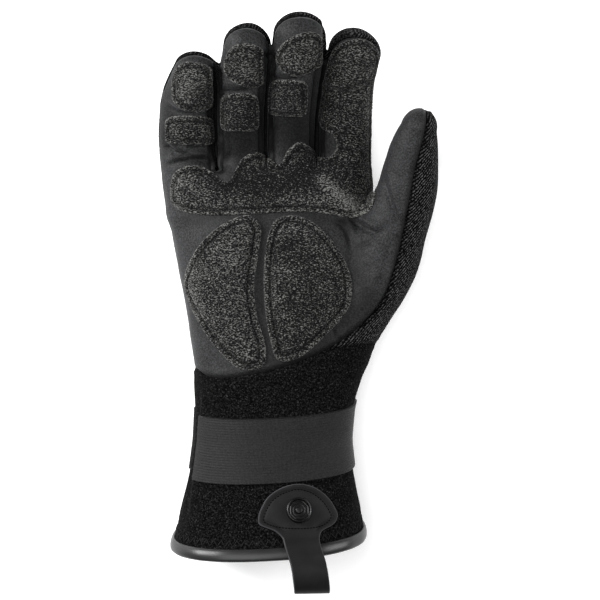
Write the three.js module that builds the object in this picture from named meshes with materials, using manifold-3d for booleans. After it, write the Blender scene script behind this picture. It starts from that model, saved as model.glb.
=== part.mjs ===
// A right-hand paddling glove lying on its back, palm up, in millimetres.
// +Y runs to the fingertips, +X to the thumb and +Z out of the palm.
// The origin is on the flat underside of the back panel, below the middle of the palm.
import * as THREE from "three";
import { mergeVertices } from "three/addons/utils/BufferGeometryUtils.js";
import Module from "manifold-3d";

const wasm = await Module();
wasm.setup();

// Driving sizes
const WALL = 2.4; // neoprene and lined palm
const GAP = 0.3; // between pieces that touch
const PATCH_RISE = 1.5; // outer face of a grip patch above the glove's skin
const PAD_RISE = 2.6; // outer face of a padded palm panel above the skin
const TAPE_RISE = 2.1; // outer face of the strap and of the hem binding above the skin
const BINDING_WIDTH = 3.6; // from the cut edge up the cuff
const BINDING_END = 1.6; // how far the binding stands out past the cut edge
const TAB_THICK = 1.7;
const TAB_CLEAR = 0.4; // under the tab, a little more than a gap because the cuff curves
const BODY_SIDES = 28;
const FINGER_SIDES = 14;
const FINGER_STEPS = 7; // for a digit with the usual number of rows, and one more for each row more
const FINGER_ROWS = 5;
const CAP_STEPS = 3;
const CAP_OPEN = 0.35; // share of a step that a cap's last ring stops short of the tip
const OUTLINE_STEPS = { edge: 30, pad: 36, knuckle: 60, patch: 20 };

// How full a section of the hand is: 2 is an ellipse, more is squarer
const UPPER_FULLNESS = 2.3;
const LOWER_FULLNESS = 2.7;
const MIDDLE_SHARE = 0.45; // height of a section's widest level
const SAG_SHARE = 1.12; // how far the underside would bulge if it weren't pressed flat

// The hem, the strap's edges and the cuff's seams all lean alike
const CUFF_LEAN = { perX: 0.05, perZ: -0.206 };
const HEM_Y = -113.4;
const STRAP_Y = { low: -81.1, high: -51.5 };
const STRAP_SLIT = { x: -26, low: 23.5, high: 28.5 };
const WRIST_SEAM = { y: -31.5, perX: 0.11 };

// Sections of the hand and cuff, from the hem to the finger roots
const HAND_SECTIONS = [
  { y: -134, left: -46.8, right: 47.2, bottom: TAPE_RISE, top: 58.6 },
  { y: -118, left: -44.6, right: 45.8, bottom: TAPE_RISE, top: 56 },
  { y: -104, left: -41.6, right: 44.4, bottom: TAPE_RISE, top: 52.6 },
  { y: -89, left: -38, right: 41.2, bottom: TAPE_RISE, top: 49 },
  { y: -72, left: -35.7, right: 39.2, bottom: TAPE_RISE, top: 46 },
  { y: -56, left: -35, right: 40.6, bottom: TAPE_RISE, top: 44 },
  { y: -45, left: -35.6, right: 44.2, bottom: 1.2, top: 43 },
  { y: -36, left: -35.6, right: 47, bottom: 0, top: 42.6 },
  { y: -16, left: -38.2, right: 50, bottom: 0, top: 42 },
  { y: 4, left: -41.8, right: 51, bottom: 0, top: 41.4 },
  { y: 24, left: -45.6, right: 51.4, bottom: 0, top: 39.4 },
  { y: 38, left: -47.6, right: 50.8, bottom: 0, top: 36.4 },
  { y: 51, left: -49.6, right: 49.4, bottom: 0.4, top: 33 },
  { y: 58, left: -49.6, right: 48, bottom: 3, top: 30.4 },
  { y: 62, left: -47.6, right: 45, bottom: 6.4, top: 27.6 },
];

// Centre lines of the fingers with the half width and half height at each place
const DIGITS = {
  pinky: [
    { x: -35.5, y: 40, z: 17, wide: 12.6, high: 11 },
    { x: -38.5, y: 60, z: 18, wide: 13.1, high: 11.5 },
    { x: -39.2, y: 77, z: 25, wide: 13.4, high: 11 },
    { x: -37.6, y: 92, z: 36, wide: 12.6, high: 10.6 },
    { x: -33.8, y: 102.6, z: 46, wide: 11, high: 10 },
  ],
  ring: [
    { x: -13.4, y: 40, z: 17.5, wide: 11.3, high: 12 },
    { x: -13.2, y: 62, z: 18.5, wide: 11.3, high: 12 },
    { x: -13.2, y: 79, z: 28, wide: 11.3, high: 11.5 },
    { x: -12, y: 97, z: 41, wide: 11.6, high: 11.2 },
    { x: -9.6, y: 114.6, z: 53, wide: 11, high: 10.8 },
  ],
  middle: [
    { x: 10.6, y: 40, z: 17.5, wide: 11.4, high: 12 },
    { x: 10.8, y: 63, z: 19, wide: 11.4, high: 12 },
    { x: 11.2, y: 81, z: 29, wide: 11.6, high: 11.8 },
    { x: 13.2, y: 101, z: 43.4, wide: 12, high: 11.6 },
    { x: 15.6, y: 119, z: 56, wide: 12.6, high: 11.4 },
  ],
  index: [
    { x: 34.8, y: 40, z: 17.5, wide: 12.2, high: 12 },
    { x: 36.4, y: 63, z: 19, wide: 12.4, high: 12 },
    { x: 36.8, y: 83, z: 27, wide: 12.5, high: 11.6 },
    { x: 38.4, y: 100, z: 38, wide: 12.2, high: 11.2 },
    { x: 41.2, y: 112.6, z: 48, wide: 12.4, high: 10.8 },
  ],
  thumb: [
    { x: 36, y: -24, z: 21, wide: 14, high: 16 },
    { x: 44, y: -6, z: 21.5, wide: 17, high: 17.5 },
    { x: 54.3, y: 12, z: 23, wide: 17.5, high: 17 },
    { x: 60.5, y: 31, z: 27, wide: 16.3, high: 15.5 },
    { x: 66, y: 46, z: 31.5, wide: 14.6, high: 14 },
    { x: 68.4, y: 60, z: 36, wide: 12.6, high: 12.4 },
    { x: 70, y: 69.6, z: 40, wide: 10.8, high: 10.8 },
    { x: 71.8, y: 77, z: 43.4, wide: 8.4, high: 8.8 },
  ],
};

// Height of the side seam between palm and back, along the fingers and along the thumb
const SIDE_SEAM = [
  { y: -150, hand: 17, thumb: 17 },
  { y: 12, hand: 16, thumb: 19 },
  { y: 46, hand: 15.5, thumb: 27.5 },
  { y: 62, hand: 17.5, thumb: 33.5 },
  { y: 79, hand: 26, thumb: 42 },
  { y: 96, hand: 39, thumb: 45 },
  { y: 114, hand: 54, thumb: 54 },
  { y: 150, hand: 78, thumb: 78 },
];
const SEAM_BLEND = { from: 50, to: 56 }; // across the web, from the hand's height to the thumb's
const LAID_ABOVE = 1; // a pad or patch ends this far above the side seam
const SEAM_ROOM = 1.5 * GAP; // the seam leans, so its slit is cut wider than a gap

// Edge of the palm panel seen from above, from the thumb's tip round the heel to the side seam
const PALM_EDGE = [
  { x: 74, y: 100 },
  { x: 74.8, y: 78 },
  { x: 69.4, y: 56 },
  { x: 65.4, y: 33 },
  { x: 61.5, y: 15 },
  { x: 54.5, y: -5 },
  { x: 38, y: -22 },
  { x: 15, y: -34 },
  { x: -10, y: -40.6 },
  { x: -28, y: -41.4 },
  { x: -37, y: -36 },
];
const FAR = { left: -90, right: 120, low: -170, high: 160, under: -40, over: 140 };

// The slits between the fingers, with the half width of the side strips that close them
const SLITS = [
  { name: "fourchette_pinky_ring", x: [-24.4, -25, -25], root: 57.4, end: 103 },
  { name: "fourchette_ring_middle", x: [-0.6, -1.2, 0.8], root: 57.4, end: 110 },
  { name: "fourchette_middle_index", x: [23.4, 23.6, 26.4], root: 57.4, end: 108 },
];
const STRIP_HALF = 3;

// Outlines of the two palm pads, seen from above
const PAD_OUTLINES = {
  pad_ulnar: [
    { x: -9, y: 35.4 }, { x: -3.4, y: 30.5 }, { x: -4.2, y: 18 }, { x: -6.4, y: 2 },
    { x: -5, y: -12 }, { x: -0.8, y: -27 }, { x: -2, y: -36 }, { x: -12, y: -38 },
    { x: -24, y: -28 }, { x: -36, y: -8.5 }, { x: -39.4, y: 5 }, { x: -33, y: 20.5 },
    { x: -20, y: 32 },
  ],
  pad_radial: [
    { x: 12, y: 35.4 }, { x: 4, y: 33.4 }, { x: 0.2, y: 25 }, { x: -1.7, y: 9 },
    { x: -1.4, y: -6 }, { x: 1, y: -22 }, { x: 5, y: -33.4 }, { x: 14, y: -32.6 },
    { x: 28, y: -21 }, { x: 39, y: -7.5 }, { x: 39.6, y: 6 }, { x: 33, y: 20 },
    { x: 22, y: 31.8 },
  ],
};

// The knuckle panel, clockwise from the little finger: one lobe for each finger with a notch after
// it, the long lobe over the index finger, and the band's edge on the thumb's and the palm's side
const LOBE_SHOULDER = { left: 3.5, right: 3 }; // below the top of a lobe
const KNUCKLE_LOBES = [
  { left: -44.5, right: -27, top: 59.8, notchX: -19.4, notchY: 51.4 },
  { left: -12.5, right: 1, top: 66, notchX: 5.6, notchY: 60 },
  { left: 9.8, right: 21.4, top: 70.6, notchX: 27, notchY: 64 },
];
const INDEX_LOBE = [
  { x: 25, y: 76 }, { x: 25, y: 90 }, { x: 33.4, y: 114.6 }, { x: 57.6, y: 113.6 },
  { x: 51.6, y: 82 }, { x: 51.6, y: 46 },
];
const KNUCKLE_BAND = [
  { x: 49, y: 38 }, { x: 41, y: 34.6 }, { x: 20, y: 37 }, { x: -34.6, y: 36 },
  { x: -44.6, y: 40 }, { x: -46.6, y: 46 },
];

// Grip patches of the other fingers: half their width and length, and their turn in degrees. Round
// ones have fullness near 2, squarer ones more.
const FINGER_PATCHES = [
  { name: "patch_pinky_tip", on: "pinky", x: -34.8, y: 95.6, half: 10, long: 11, turn: -8, fullness: 2.8 },
  { name: "patch_pinky_mid", on: "pinky", x: -37.2, y: 76, half: 11.6, long: 6.6, turn: 0, fullness: 5 },
  { name: "patch_ring_tip", on: "ring", x: -9.4, y: 105, half: 10.6, long: 9.6, turn: -12, fullness: 2.3 },
  { name: "patch_ring_mid", on: "ring", x: -13.2, y: 84, half: 8.9, long: 8.6, turn: 0, fullness: 5 },
  { name: "patch_middle_tip", on: "middle", x: 16.2, y: 110, half: 12, long: 8.6, turn: 24, fullness: 2.4 },
  { name: "patch_middle_mid", on: "middle", x: 9.9, y: 90.4, half: 9, long: 8.2, turn: -3, fullness: 5 },
];

// The pull tab and its loop, a row for each place along it. Lift is how far it climbs over the
// binding; past the hem the ribbon leaves the skin and z is given instead.
const TAB_ROWS = [
  { y: -91.8, left: 11.6, right: 17.4, lift: 0 },
  { y: -93.2, left: 6.8, right: 21.8, lift: 0 },
  { y: -97, left: 0.8, right: 27.2, lift: 0 },
  { y: -102, left: -2.6, right: 31, lift: 0 },
  { y: -107, left: -4.3, right: 32.8, lift: 0 },
  { y: -110.5, left: -3.4, right: 30.8, lift: 0 },
  { y: -113.5, left: 3.6, right: 25.6, lift: 0 },
  { y: -116.5, left: 6.8, right: 24.4, lift: 0 },
  { y: -119.8, left: 8, right: 24.8, lift: 2.1 },
  { y: -126, left: 10, right: 26.8, lift: 2.1 },
  { y: -131.5, left: 11.4, right: 28.2, z: 60.6 },
  { y: -137, left: 12.2, right: 29, z: 60 },
  { y: -139.8, left: 12.5, right: 29.3, z: 58 },
  { y: -140.9, left: 12.6, right: 29.4, z: 54.6 },
  { y: -139.8, left: 12.5, right: 29.3, z: 50.4 },
  { y: -137, left: 12.2, right: 29, z: 48.2 },
  { y: -131, left: 11.2, right: 28, z: 47.6 },
  { y: -124, left: 9.6, right: 26.4, z: 47.4 },
  { y: -116, left: 8, right: 24.8, z: 45.8 },
];
const TAB_COLUMNS = 9;
const LOOP_ARCH = 0.6; // how much of the cuff's arch the loop keeps past the hem

const SNAP = {
  x: 14.4, y: -104.1, radius: 6, foot: 0.6, height: 2.4, edge: 0.8, rim: 1.5,
  funnel: 0.9, bore: 2.5, floor: 0.8, boss: 1.3, bossHeight: 1.9,
};
const SNAP_SIDES = 20;

const MATERIALS = {
  suede: { color: 0x3a3c40, roughness: 0.75, metalness: 0 },
  grip: { color: 0x55575a, roughness: 0.95, metalness: 0 },
  plush: { color: 0x131415, roughness: 1, metalness: 0 },
  knit: { color: 0x1d1e20, roughness: 0.95, metalness: 0 },
  elastic: { color: 0x303133, roughness: 0.8, metalness: 0 },
  binding: { color: 0x4a4c4f, roughness: 0.5, metalness: 0 },
  tab: { color: 0x3b3c3f, roughness: 0.6, metalness: 0 },
  snap: { color: 0x0c0c0d, roughness: 0.25, metalness: 0.6 },
};

const lerp = THREE.MathUtils.lerp;

// The values of a table at y, in a straight line between its rows
function rowAt(rows, y) {
  const last = rows.length - 2;
  const found = rows.findIndex((row, i) => i <= last && y <= rows[i + 1].y);
  const i = found < 0 ? last : found;
  const share = (y - rows[i].y) / (rows[i + 1].y - rows[i].y);
  const at = (key) => lerp(rows[i][key], rows[i + 1][key], share);
  return Object.fromEntries(Object.keys(rows[i]).map((key) => [key, at(key)]));
}

// A signed power, which squares up a circle
function power(value, exponent) {
  return Math.sign(value) * Math.abs(value) ** exponent;
}

// A closed mesh through rings of points, with a fan over each end
function loft(rings) {
  const sides = rings[0].length;
  const points = rings.flat();
  const index = [];
  for (let r = 0; r + 1 < rings.length; r++) {
    for (let s = 0; s < sides; s++) {
      const a = r * sides + s;
      const b = r * sides + ((s + 1) % sides);
      index.push(a, b + sides, b, a, a + sides, b + sides);
    }
  }
  const ends = [[0, 1], [rings.length - 1, -1]];
  for (const [r, way] of ends) {
    const centre = new THREE.Vector3();
    rings[r].forEach((p) => centre.addScaledVector(p, 1 / sides));
    const c = points.push(centre) - 1;
    for (let s = 0; s < sides; s++) {
      const a = r * sides + s;
      const b = r * sides + ((s + 1) % sides);
      index.push(...(way > 0 ? [c, a, b] : [c, b, a]));
    }
  }
  const geometry = new THREE.BufferGeometry().setFromPoints(points);
  geometry.setIndex(index);
  return geometry;
}

// A three.js geometry as a solid that can be joined and cut
function solid(geometry) {
  const bare = geometry.index ? geometry.toNonIndexed() : geometry.clone();
  bare.deleteAttribute("normal");
  bare.deleteAttribute("uv");
  const merged = mergeVertices(bare, 1e-4);
  const made = new wasm.Manifold(new wasm.Mesh({
    numProp: 3,
    vertProperties: merged.attributes.position.array,
    triVerts: new Uint32Array(merged.index.array),
  }));
  if (made.volume() <= 0) throw new Error("a cutting or base solid is inside out");
  return made;
}

// A solid back as a three.js geometry
function geometryOf(made) {
  const { vertProperties, triVerts } = made.getMesh();
  const geometry = new THREE.BufferGeometry();
  geometry.setAttribute("position", new THREE.BufferAttribute(vertProperties, 3));
  geometry.setIndex(new THREE.BufferAttribute(triVerts, 1));
  const flat = geometry.toNonIndexed();
  flat.computeVertexNormals();
  return flat;
}

// One section of the hand or cuff, grown by offset and pressed flat below
function handRing(row, offset) {
  const middleX = (row.left + row.right) / 2;
  const half = (row.right - row.left) / 2 + offset;
  const floor = row.bottom - offset;
  const middleZ = lerp(row.bottom, row.top, MIDDLE_SHARE);
  const up = row.top - middleZ + offset;
  const down = (middleZ - row.bottom) * SAG_SHARE + offset;
  return Array.from({ length: BODY_SIDES }, (_, s) => {
    const angle = (2 * Math.PI * (s + 0.5)) / BODY_SIDES;
    const fullness = Math.sin(angle) > 0 ? UPPER_FULLNESS : LOWER_FULLNESS;
    const x = middleX + half * power(Math.cos(angle), 2 / fullness);
    const reach = Math.sin(angle) > 0 ? up : down;
    const z = middleZ + reach * power(Math.sin(angle), 2 / fullness);
    return new THREE.Vector3(x, row.y, Math.max(z, floor));
  });
}

// The hand and cuff without fingers
function hand(offset) {
  const rings = HAND_SECTIONS.map((row) => handRing(row, offset));
  rings.at(-1).forEach((point) => (point.y += offset));
  return solid(loft(rings));
}

// Height of the hand's or cuff's upper skin
function skinHeight(x, y) {
  const row = rowAt(HAND_SECTIONS, y);
  const middleZ = lerp(row.bottom, row.top, MIDDLE_SHARE);
  const across = Math.abs(2 * x - row.left - row.right) / (row.right - row.left);
  const rise = Math.max(0, 1 - across ** UPPER_FULLNESS) ** (1 / UPPER_FULLNESS);
  return middleZ + (row.top - middleZ) * rise;
}

// A finger or the thumb: rings across its centre line, closed by a round cap
function digit(rows, offset) {
  const line = new THREE.CatmullRomCurve3(rows.map((r) => new THREE.Vector3(r.x, r.y, r.z)));
  const size = new THREE.CatmullRomCurve3(rows.map((r) => new THREE.Vector3(r.wide, r.high, 0)));
  const ring = (centre, along, wide, high) => {
    const side = new THREE.Vector3(along.y, -along.x, 0).normalize();
    const out = new THREE.Vector3().crossVectors(side, along);
    return Array.from({ length: FINGER_SIDES }, (_, s) => {
      const angle = (2 * Math.PI * (s + 0.5)) / FINGER_SIDES;
      return centre.clone()
        .addScaledVector(side, wide * Math.cos(angle))
        .addScaledVector(out, high * Math.sin(angle));
    });
  };
  const steps = FINGER_STEPS + rows.length - FINGER_ROWS;
  const rings = [];
  for (let i = 0; i <= steps; i++) {
    const t = i / steps;
    const { x: wide, y: high } = size.getPoint(t);
    rings.push(ring(line.getPoint(t), line.getTangent(t), wide + offset, high + offset));
  }
  const { wide, high } = rows.at(-1);
  const tip = line.getPoint(1);
  const along = line.getTangent(1);
  for (let i = 1; i <= CAP_STEPS; i++) {
    const angle = (Math.PI / 2) * (i / (CAP_STEPS + CAP_OPEN));
    const centre = tip.clone().addScaledVector(along, (high + offset) * Math.sin(angle));
    const shrink = Math.cos(angle);
    rings.push(ring(centre, along, (wide + offset) * shrink, (high + offset) * shrink));
  }
  return solid(loft(rings));
}

// The whole glove's outer form, grown by offset
function glove(offset) {
  return Object.values(DIGITS).reduce((sum, rows) => sum.add(digit(rows, offset)), hand(offset));
}

// An upright prism over an outline
function prism(outline) {
  const shape = new THREE.Shape(outline.map(({ x, y }) => new THREE.Vector2(x, y)));
  const depth = FAR.over - FAR.under;
  const geometry = new THREE.ExtrudeGeometry(shape, { depth, bevelEnabled: false });
  return solid(geometry.translate(0, 0, FAR.under));
}

// A smooth line through table rows, closed or open
function smooth(rows, closed, count) {
  const points = rows.map(({ x, y }) => new THREE.Vector3(x, y, 0));
  const line = new THREE.CatmullRomCurve3(points, closed, "centripetal").getPoints(count);
  return closed ? line.slice(0, -1) : line;
}

// The space between two upright or leaning planes across the glove
function slab(low, high, lean) {
  const { perX, perZ } = { perX: 0, perZ: 0, ...lean };
  const corner = (y, x, z) => new THREE.Vector3(x, y + perX * x + perZ * z, z);
  const end = (y) => [
    corner(y, FAR.right, FAR.under), corner(y, FAR.right, FAR.over),
    corner(y, FAR.left, FAR.over), corner(y, FAR.left, FAR.under),
  ];
  return solid(loft([end(low), end(high)]));
}

// Everything on the palm's side of the side seam
function palmSide(shift) {
  const across = [FAR.left, SEAM_BLEND.from, SEAM_BLEND.to, FAR.right];
  const rings = SIDE_SEAM.map(({ y, hand: low, thumb: high }) => {
    const height = (x) => (x < SEAM_BLEND.to ? low : high) + shift;
    const under = across.map((x) => new THREE.Vector3(x, y, height(x)));
    const over = across.map((x) => new THREE.Vector3(x, y, FAR.over)).reverse();
    return [...under, ...over];
  });
  return solid(loft(rings));
}

// The palm panel's plan, grown by offset towards the thumb and the cuff
function palmPlan(offset) {
  const edge = smooth(PALM_EDGE, false, OUTLINE_STEPS.edge).map((point, i, line) => {
    const along = line[Math.min(i + 1, line.length - 1)].clone().sub(line[Math.max(i - 1, 0)]);
    const out = new THREE.Vector3(-along.y, along.x, 0).normalize();
    return point.clone().addScaledVector(out, offset);
  });
  return prism([
    { x: FAR.left, y: FAR.high }, { x: edge[0].x, y: FAR.high }, ...edge,
    { x: FAR.left, y: edge.at(-1).y },
  ]);
}

// A band along one slit between two fingers
function stripPlan({ x, root, end }, offset) {
  const half = STRIP_HALF + offset;
  const rows = x.map((centre, i) => {
    const share = i / (x.length - 1);
    return { x: centre, y: lerp(root - offset, end + offset, share) };
  });
  const left = rows.map((row) => ({ x: row.x - half, y: row.y }));
  const right = rows.map((row) => ({ x: row.x + half, y: row.y })).reverse();
  return prism([...left, ...right]);
}

// A rounded patch outline: an ellipse squared up by its fullness
function patchOutline({ x, y, half, long, turn, fullness }) {
  const angle = THREE.MathUtils.degToRad(turn);
  return Array.from({ length: OUTLINE_STEPS.patch }, (_, i) => {
    const t = (2 * Math.PI * (i + 0.5)) / OUTLINE_STEPS.patch;
    const u = half * power(Math.cos(t), 2 / fullness);
    const v = long * power(Math.sin(t), 2 / fullness);
    return {
      x: x + u * Math.cos(angle) - v * Math.sin(angle),
      y: y + u * Math.sin(angle) + v * Math.cos(angle),
    };
  });
}

// The knuckle panel's outline, along the lobes and back along the band's lower edge
function knuckleOutline() {
  const lobes = KNUCKLE_LOBES.flatMap((lobe) => [
    { x: lobe.left, y: lobe.top - LOBE_SHOULDER.left },
    { x: (lobe.left + lobe.right) / 2, y: lobe.top },
    { x: lobe.right, y: lobe.top - LOBE_SHOULDER.right },
    { x: lobe.notchX, y: lobe.notchY },
  ]);
  return smooth([...lobes, ...INDEX_LOBE, ...KNUCKLE_BAND], true, OUTLINE_STEPS.knuckle);
}

// A sheet with thickness along a path: rows of points on its inner face, offset outwards
function ribbon(rows, thick) {
  const lines = rows.map((points, i) => {
    const before = rows[Math.max(i - 1, 0)];
    const after = rows[Math.min(i + 1, rows.length - 1)];
    return points.map((point, j) => {
      const along = after[j].clone().sub(before[j]);
      const next = points[Math.min(j + 1, points.length - 1)];
      const across = next.clone().sub(points[Math.max(j - 1, 0)]);
      return point.clone().addScaledVector(across.cross(along).normalize(), -thick);
    });
  });
  return loft(rows.map((points, i) => [...points, ...lines[i].reverse()]).reverse());
}

// The tab and loop in one ribbon
function pullTab() {
  const rows = TAB_ROWS.map(({ y, left, right, lift, z }) =>
    Array.from({ length: TAB_COLUMNS + 1 }, (_, i) => {
      const x = lerp(left, right, i / TAB_COLUMNS);
      if (z === undefined) return new THREE.Vector3(x, y, skinHeight(x, y) + TAB_CLEAR + lift);
      const middle = (left + right) / 2;
      const arch = skinHeight(x, HEM_Y) - skinHeight(middle, HEM_Y);
      return new THREE.Vector3(x, y, z + LOOP_ARCH * arch);
    }));
  return solid(ribbon(rows, TAB_THICK));
}

// The snap: a flat-topped ring with a low boss in its bore, turned about its own axis
function snapFastener() {
  const { radius, foot, height, edge, rim, funnel, bore, floor, boss, bossHeight } = SNAP;
  const profile = [
    [0, 0], [radius - foot, 0], [radius, foot], [radius, height - edge], [radius - edge, height],
    [radius - rim - funnel, height], [bore, floor], [boss, floor], [boss, bossHeight],
    [0, bossHeight],
  ].map(([r, z]) => new THREE.Vector2(r, z));
  return new THREE.LatheGeometry(profile, SNAP_SIDES).rotateX(Math.PI / 2);
}

const skin = glove(0);
const shell = skin.subtract(glove(-WALL));
const clear = glove(GAP); // the space that pieces laid on the skin start from
const hem = slab(HEM_Y, FAR.high, CUFF_LEAN);
const palmCut = palmPlan(0).intersect(palmSide(0));
const palmRoom = palmPlan(GAP).intersect(palmSide(-SEAM_ROOM));
const seamLean = { perX: WRIST_SEAM.perX };
const fingersEnd = slab(WRIST_SEAM.y + GAP, FAR.high, seamLean);
const cuffEnd = slab(FAR.low, WRIST_SEAM.y, seamLean);
const strips = SLITS.map((slit) => shell.intersect(stripPlan(slit, 0)));
const stripRoom = SLITS.map((slit) => stripPlan(slit, GAP));
const withoutStrips = (piece) => stripRoom.reduce((left, room) => left.subtract(room), piece);

// A layer between a grown form and the skin, on the palm side, cut to an outline
function laidOn(form, outline) {
  const layer = form.subtract(clear);
  return layer.intersect(prism(outline)).intersect(palmSide(LAID_ABOVE));
}

// The strap: a band round the cuff, open at the side seam
function wristStrap() {
  const band = hand(TAPE_RISE).subtract(hand(GAP));
  const { x, low, high } = STRAP_SLIT;
  const deep = x - FAR.left;
  const opening = new THREE.BoxGeometry(deep, FAR.high - FAR.low, high - low);
  opening.translate(x - deep / 2, (FAR.high + FAR.low) / 2, (low + high) / 2);
  return band.intersect(slab(STRAP_Y.low, STRAP_Y.high, CUFF_LEAN)).subtract(solid(opening));
}

// The binding: a tape folded over the cuff's cut edge
function hemBinding() {
  const tape = hand(TAPE_RISE).subtract(hand(-WALL - TAPE_RISE));
  const room = hand(GAP).subtract(hand(-WALL - GAP));
  const over = slab(HEM_Y - BINDING_END - GAP, HEM_Y + BINDING_WIDTH, CUFF_LEAN);
  return tape.intersect(over).subtract(room.intersect(slab(HEM_Y - GAP, 0, CUFF_LEAN)));
}

const object = new THREE.Group();

// Adds a mesh with its own material to the object
function place(name, made, finish, parent = object) {
  const geometry = made.isBufferGeometry ? made : geometryOf(made);
  const mesh = new THREE.Mesh(geometry, new THREE.MeshStandardMaterial(MATERIALS[finish]));
  mesh.name = name;
  parent.add(mesh);
  return mesh;
}

const onCuff = shell.intersect(hem);
place("palm_panel", withoutStrips(shell.intersect(palmCut)), "suede");
place("back_panel", withoutStrips(shell.subtract(palmRoom).intersect(fingersEnd)), "knit");
place("gauntlet", onCuff.subtract(palmRoom).intersect(cuffEnd), "plush");
SLITS.forEach(({ name }, i) => place(name, strips[i], "suede"));

for (const [name, rows] of Object.entries(PAD_OUTLINES)) {
  place(name, laidOn(glove(PAD_RISE), smooth(rows, true, OUTLINE_STEPS.pad)), "grip");
}
place("knuckle_patch", laidOn(glove(PATCH_RISE), knuckleOutline()), "grip");
for (const patch of FINGER_PATCHES) {
  place(patch.name, laidOn(digit(DIGITS[patch.on], PATCH_RISE), patchOutline(patch)), "grip");
}

place("wrist_strap", wristStrap(), "elastic");
place("hem_binding", hemBinding(), "binding");
place("pull_tab", pullTab(), "tab");

// The snap stands square on the tab
const snapSeat = new THREE.Group();
const step = 0.5;
const slopeX = skinHeight(SNAP.x + step, SNAP.y) - skinHeight(SNAP.x - step, SNAP.y);
const slopeY = skinHeight(SNAP.x, SNAP.y + step) - skinHeight(SNAP.x, SNAP.y - step);
const out = new THREE.Vector3(-slopeX, -slopeY, 2 * step).normalize();
snapSeat.quaternion.setFromUnitVectors(new THREE.Vector3(0, 0, 1), out);
snapSeat.position.set(SNAP.x, SNAP.y, skinHeight(SNAP.x, SNAP.y));
snapSeat.position.addScaledVector(out, TAB_CLEAR + TAB_THICK + GAP);
place("snap_fastener", snapFastener(), "snap", snapSeat);
object.add(snapSeat);

export default object;
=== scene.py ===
"""Looks of a neoprene paddling glove that lies palm up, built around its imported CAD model.

The hand and the digits are one smooth field in millimetres. Its surface is meshed once, creased, and cut
along the seams into the sewn panels. The grip pads and patches are cut from the same surface, so they lie
on the cloth that they are sewn to. The strap, the binding, the pull tab and the snap are swept shapes, and
one Geometry Nodes tree sews all the visible stitches. Axes: +Y to the fingertips, +X to the thumb, +Z up.
"""

import logging
import math
from dataclasses import dataclass
from enum import Enum
from typing import Callable, Sequence

import bpy
import numpy as np
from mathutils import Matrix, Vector
from mathutils.bvhtree import BVHTree
from mathutils.kdtree import KDTree


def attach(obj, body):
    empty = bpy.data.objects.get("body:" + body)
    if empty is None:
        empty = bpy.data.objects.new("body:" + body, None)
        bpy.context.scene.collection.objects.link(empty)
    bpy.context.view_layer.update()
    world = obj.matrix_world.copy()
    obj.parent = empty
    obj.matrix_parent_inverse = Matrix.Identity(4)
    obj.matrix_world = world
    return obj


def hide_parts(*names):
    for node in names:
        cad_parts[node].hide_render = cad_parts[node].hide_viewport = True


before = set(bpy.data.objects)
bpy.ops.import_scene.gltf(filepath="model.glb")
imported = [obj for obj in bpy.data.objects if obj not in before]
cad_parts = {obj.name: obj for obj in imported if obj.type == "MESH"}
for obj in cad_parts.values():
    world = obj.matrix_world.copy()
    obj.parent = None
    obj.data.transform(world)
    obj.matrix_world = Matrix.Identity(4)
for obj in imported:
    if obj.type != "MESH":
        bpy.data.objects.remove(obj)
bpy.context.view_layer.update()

LOG = logging.getLogger("glove")
Array = np.ndarray
Field = Callable[[Array], Array]  # gives a value for each point
Socket = bpy.types.NodeSocket
Material = bpy.types.Material
Object = bpy.types.Object

METRES = 0.001  # one millimetre, the unit of every size below
BODY = "root"
VOXEL = 1.0  # pitch of the grid that the skin is meshed on
SEED = 7

WALL = 2.2
UPPER_FULLNESS = 2.3
LOWER_FULLNESS = 2.7
MIDDLE_SHARE = 0.45  # height of a section's widest level
SAG_SHARE = 1.12  # how far the underside would bulge if it weren't pressed flat
HAND_END = 62.0
CUFF_LEAN = (0.05, -0.206)  # how a plane across the cuff moves in y with x and with z
HEM_Y = -113.4
STRAP_LOW = -81.1
STRAP_HIGH = -51.5
WRIST_SEAM_Y = -31.5
WRIST_SEAM_SLOPE = 0.11

# Sections across the hand and the cuff: y, left, right, bottom, top
HAND_SECTIONS = (
    (-134, -46.8, 47.2, 2.1, 58.6),
    (-118, -44.6, 45.8, 2.1, 56),
    (-104, -41.6, 44.4, 2.1, 52.6),
    (-89, -38, 41.2, 2.1, 49),
    (-72, -35.7, 39.2, 2.1, 46),
    (-56, -35, 40.6, 2.1, 44),
    (-45, -35.6, 44.2, 1.2, 43),
    (-36, -35.6, 47, 0, 42.6),
    (-16, -38.2, 50, 0, 42),
    (4, -41.8, 51, 0, 41.4),
    (24, -45.6, 51.4, 0, 39.4),
    (38, -47.6, 50.8, 0, 36.4),
    (51, -49.6, 49.4, 0.4, 33),
    (58, -49.6, 48, 3, 30.4),
    (62, -47.6, 45, 6.4, 27.6),
)

# Stations of each digit's centre line: x, y, z, half width, half height
FINGERS = {
    "pinky": (
        (-35.5, 40, 17, 12.6, 11),
        (-38.5, 60, 18, 13.1, 11.5),
        (-39.2, 77, 25, 13.4, 11),
        (-37.6, 92, 36, 12.6, 10.6),
        (-33.8, 102.6, 46, 11, 10),
    ),
    "ring": (
        (-13.4, 40, 17.5, 11.3, 12),
        (-13.2, 62, 18.5, 11.3, 12),
        (-13.2, 79, 28, 11.3, 11.5),
        (-12, 97, 41, 11.6, 11.2),
        (-9.6, 114.6, 53, 11, 10.8),
    ),
    "middle": (
        (10.6, 40, 17.5, 11.4, 12),
        (10.8, 63, 19, 11.4, 12),
        (11.2, 81, 29, 11.6, 11.8),
        (13.2, 101, 43.4, 12, 11.6),
        (15.6, 119, 56, 12.6, 11.4),
    ),
    "index": (
        (34.8, 40, 17.5, 12.2, 12),
        (36.4, 63, 19, 12.4, 12),
        (36.8, 83, 27, 12.5, 11.6),
        (38.4, 100, 38, 12.2, 11.2),
        (41.2, 112.6, 48, 12.4, 10.8),
    ),
}
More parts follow.
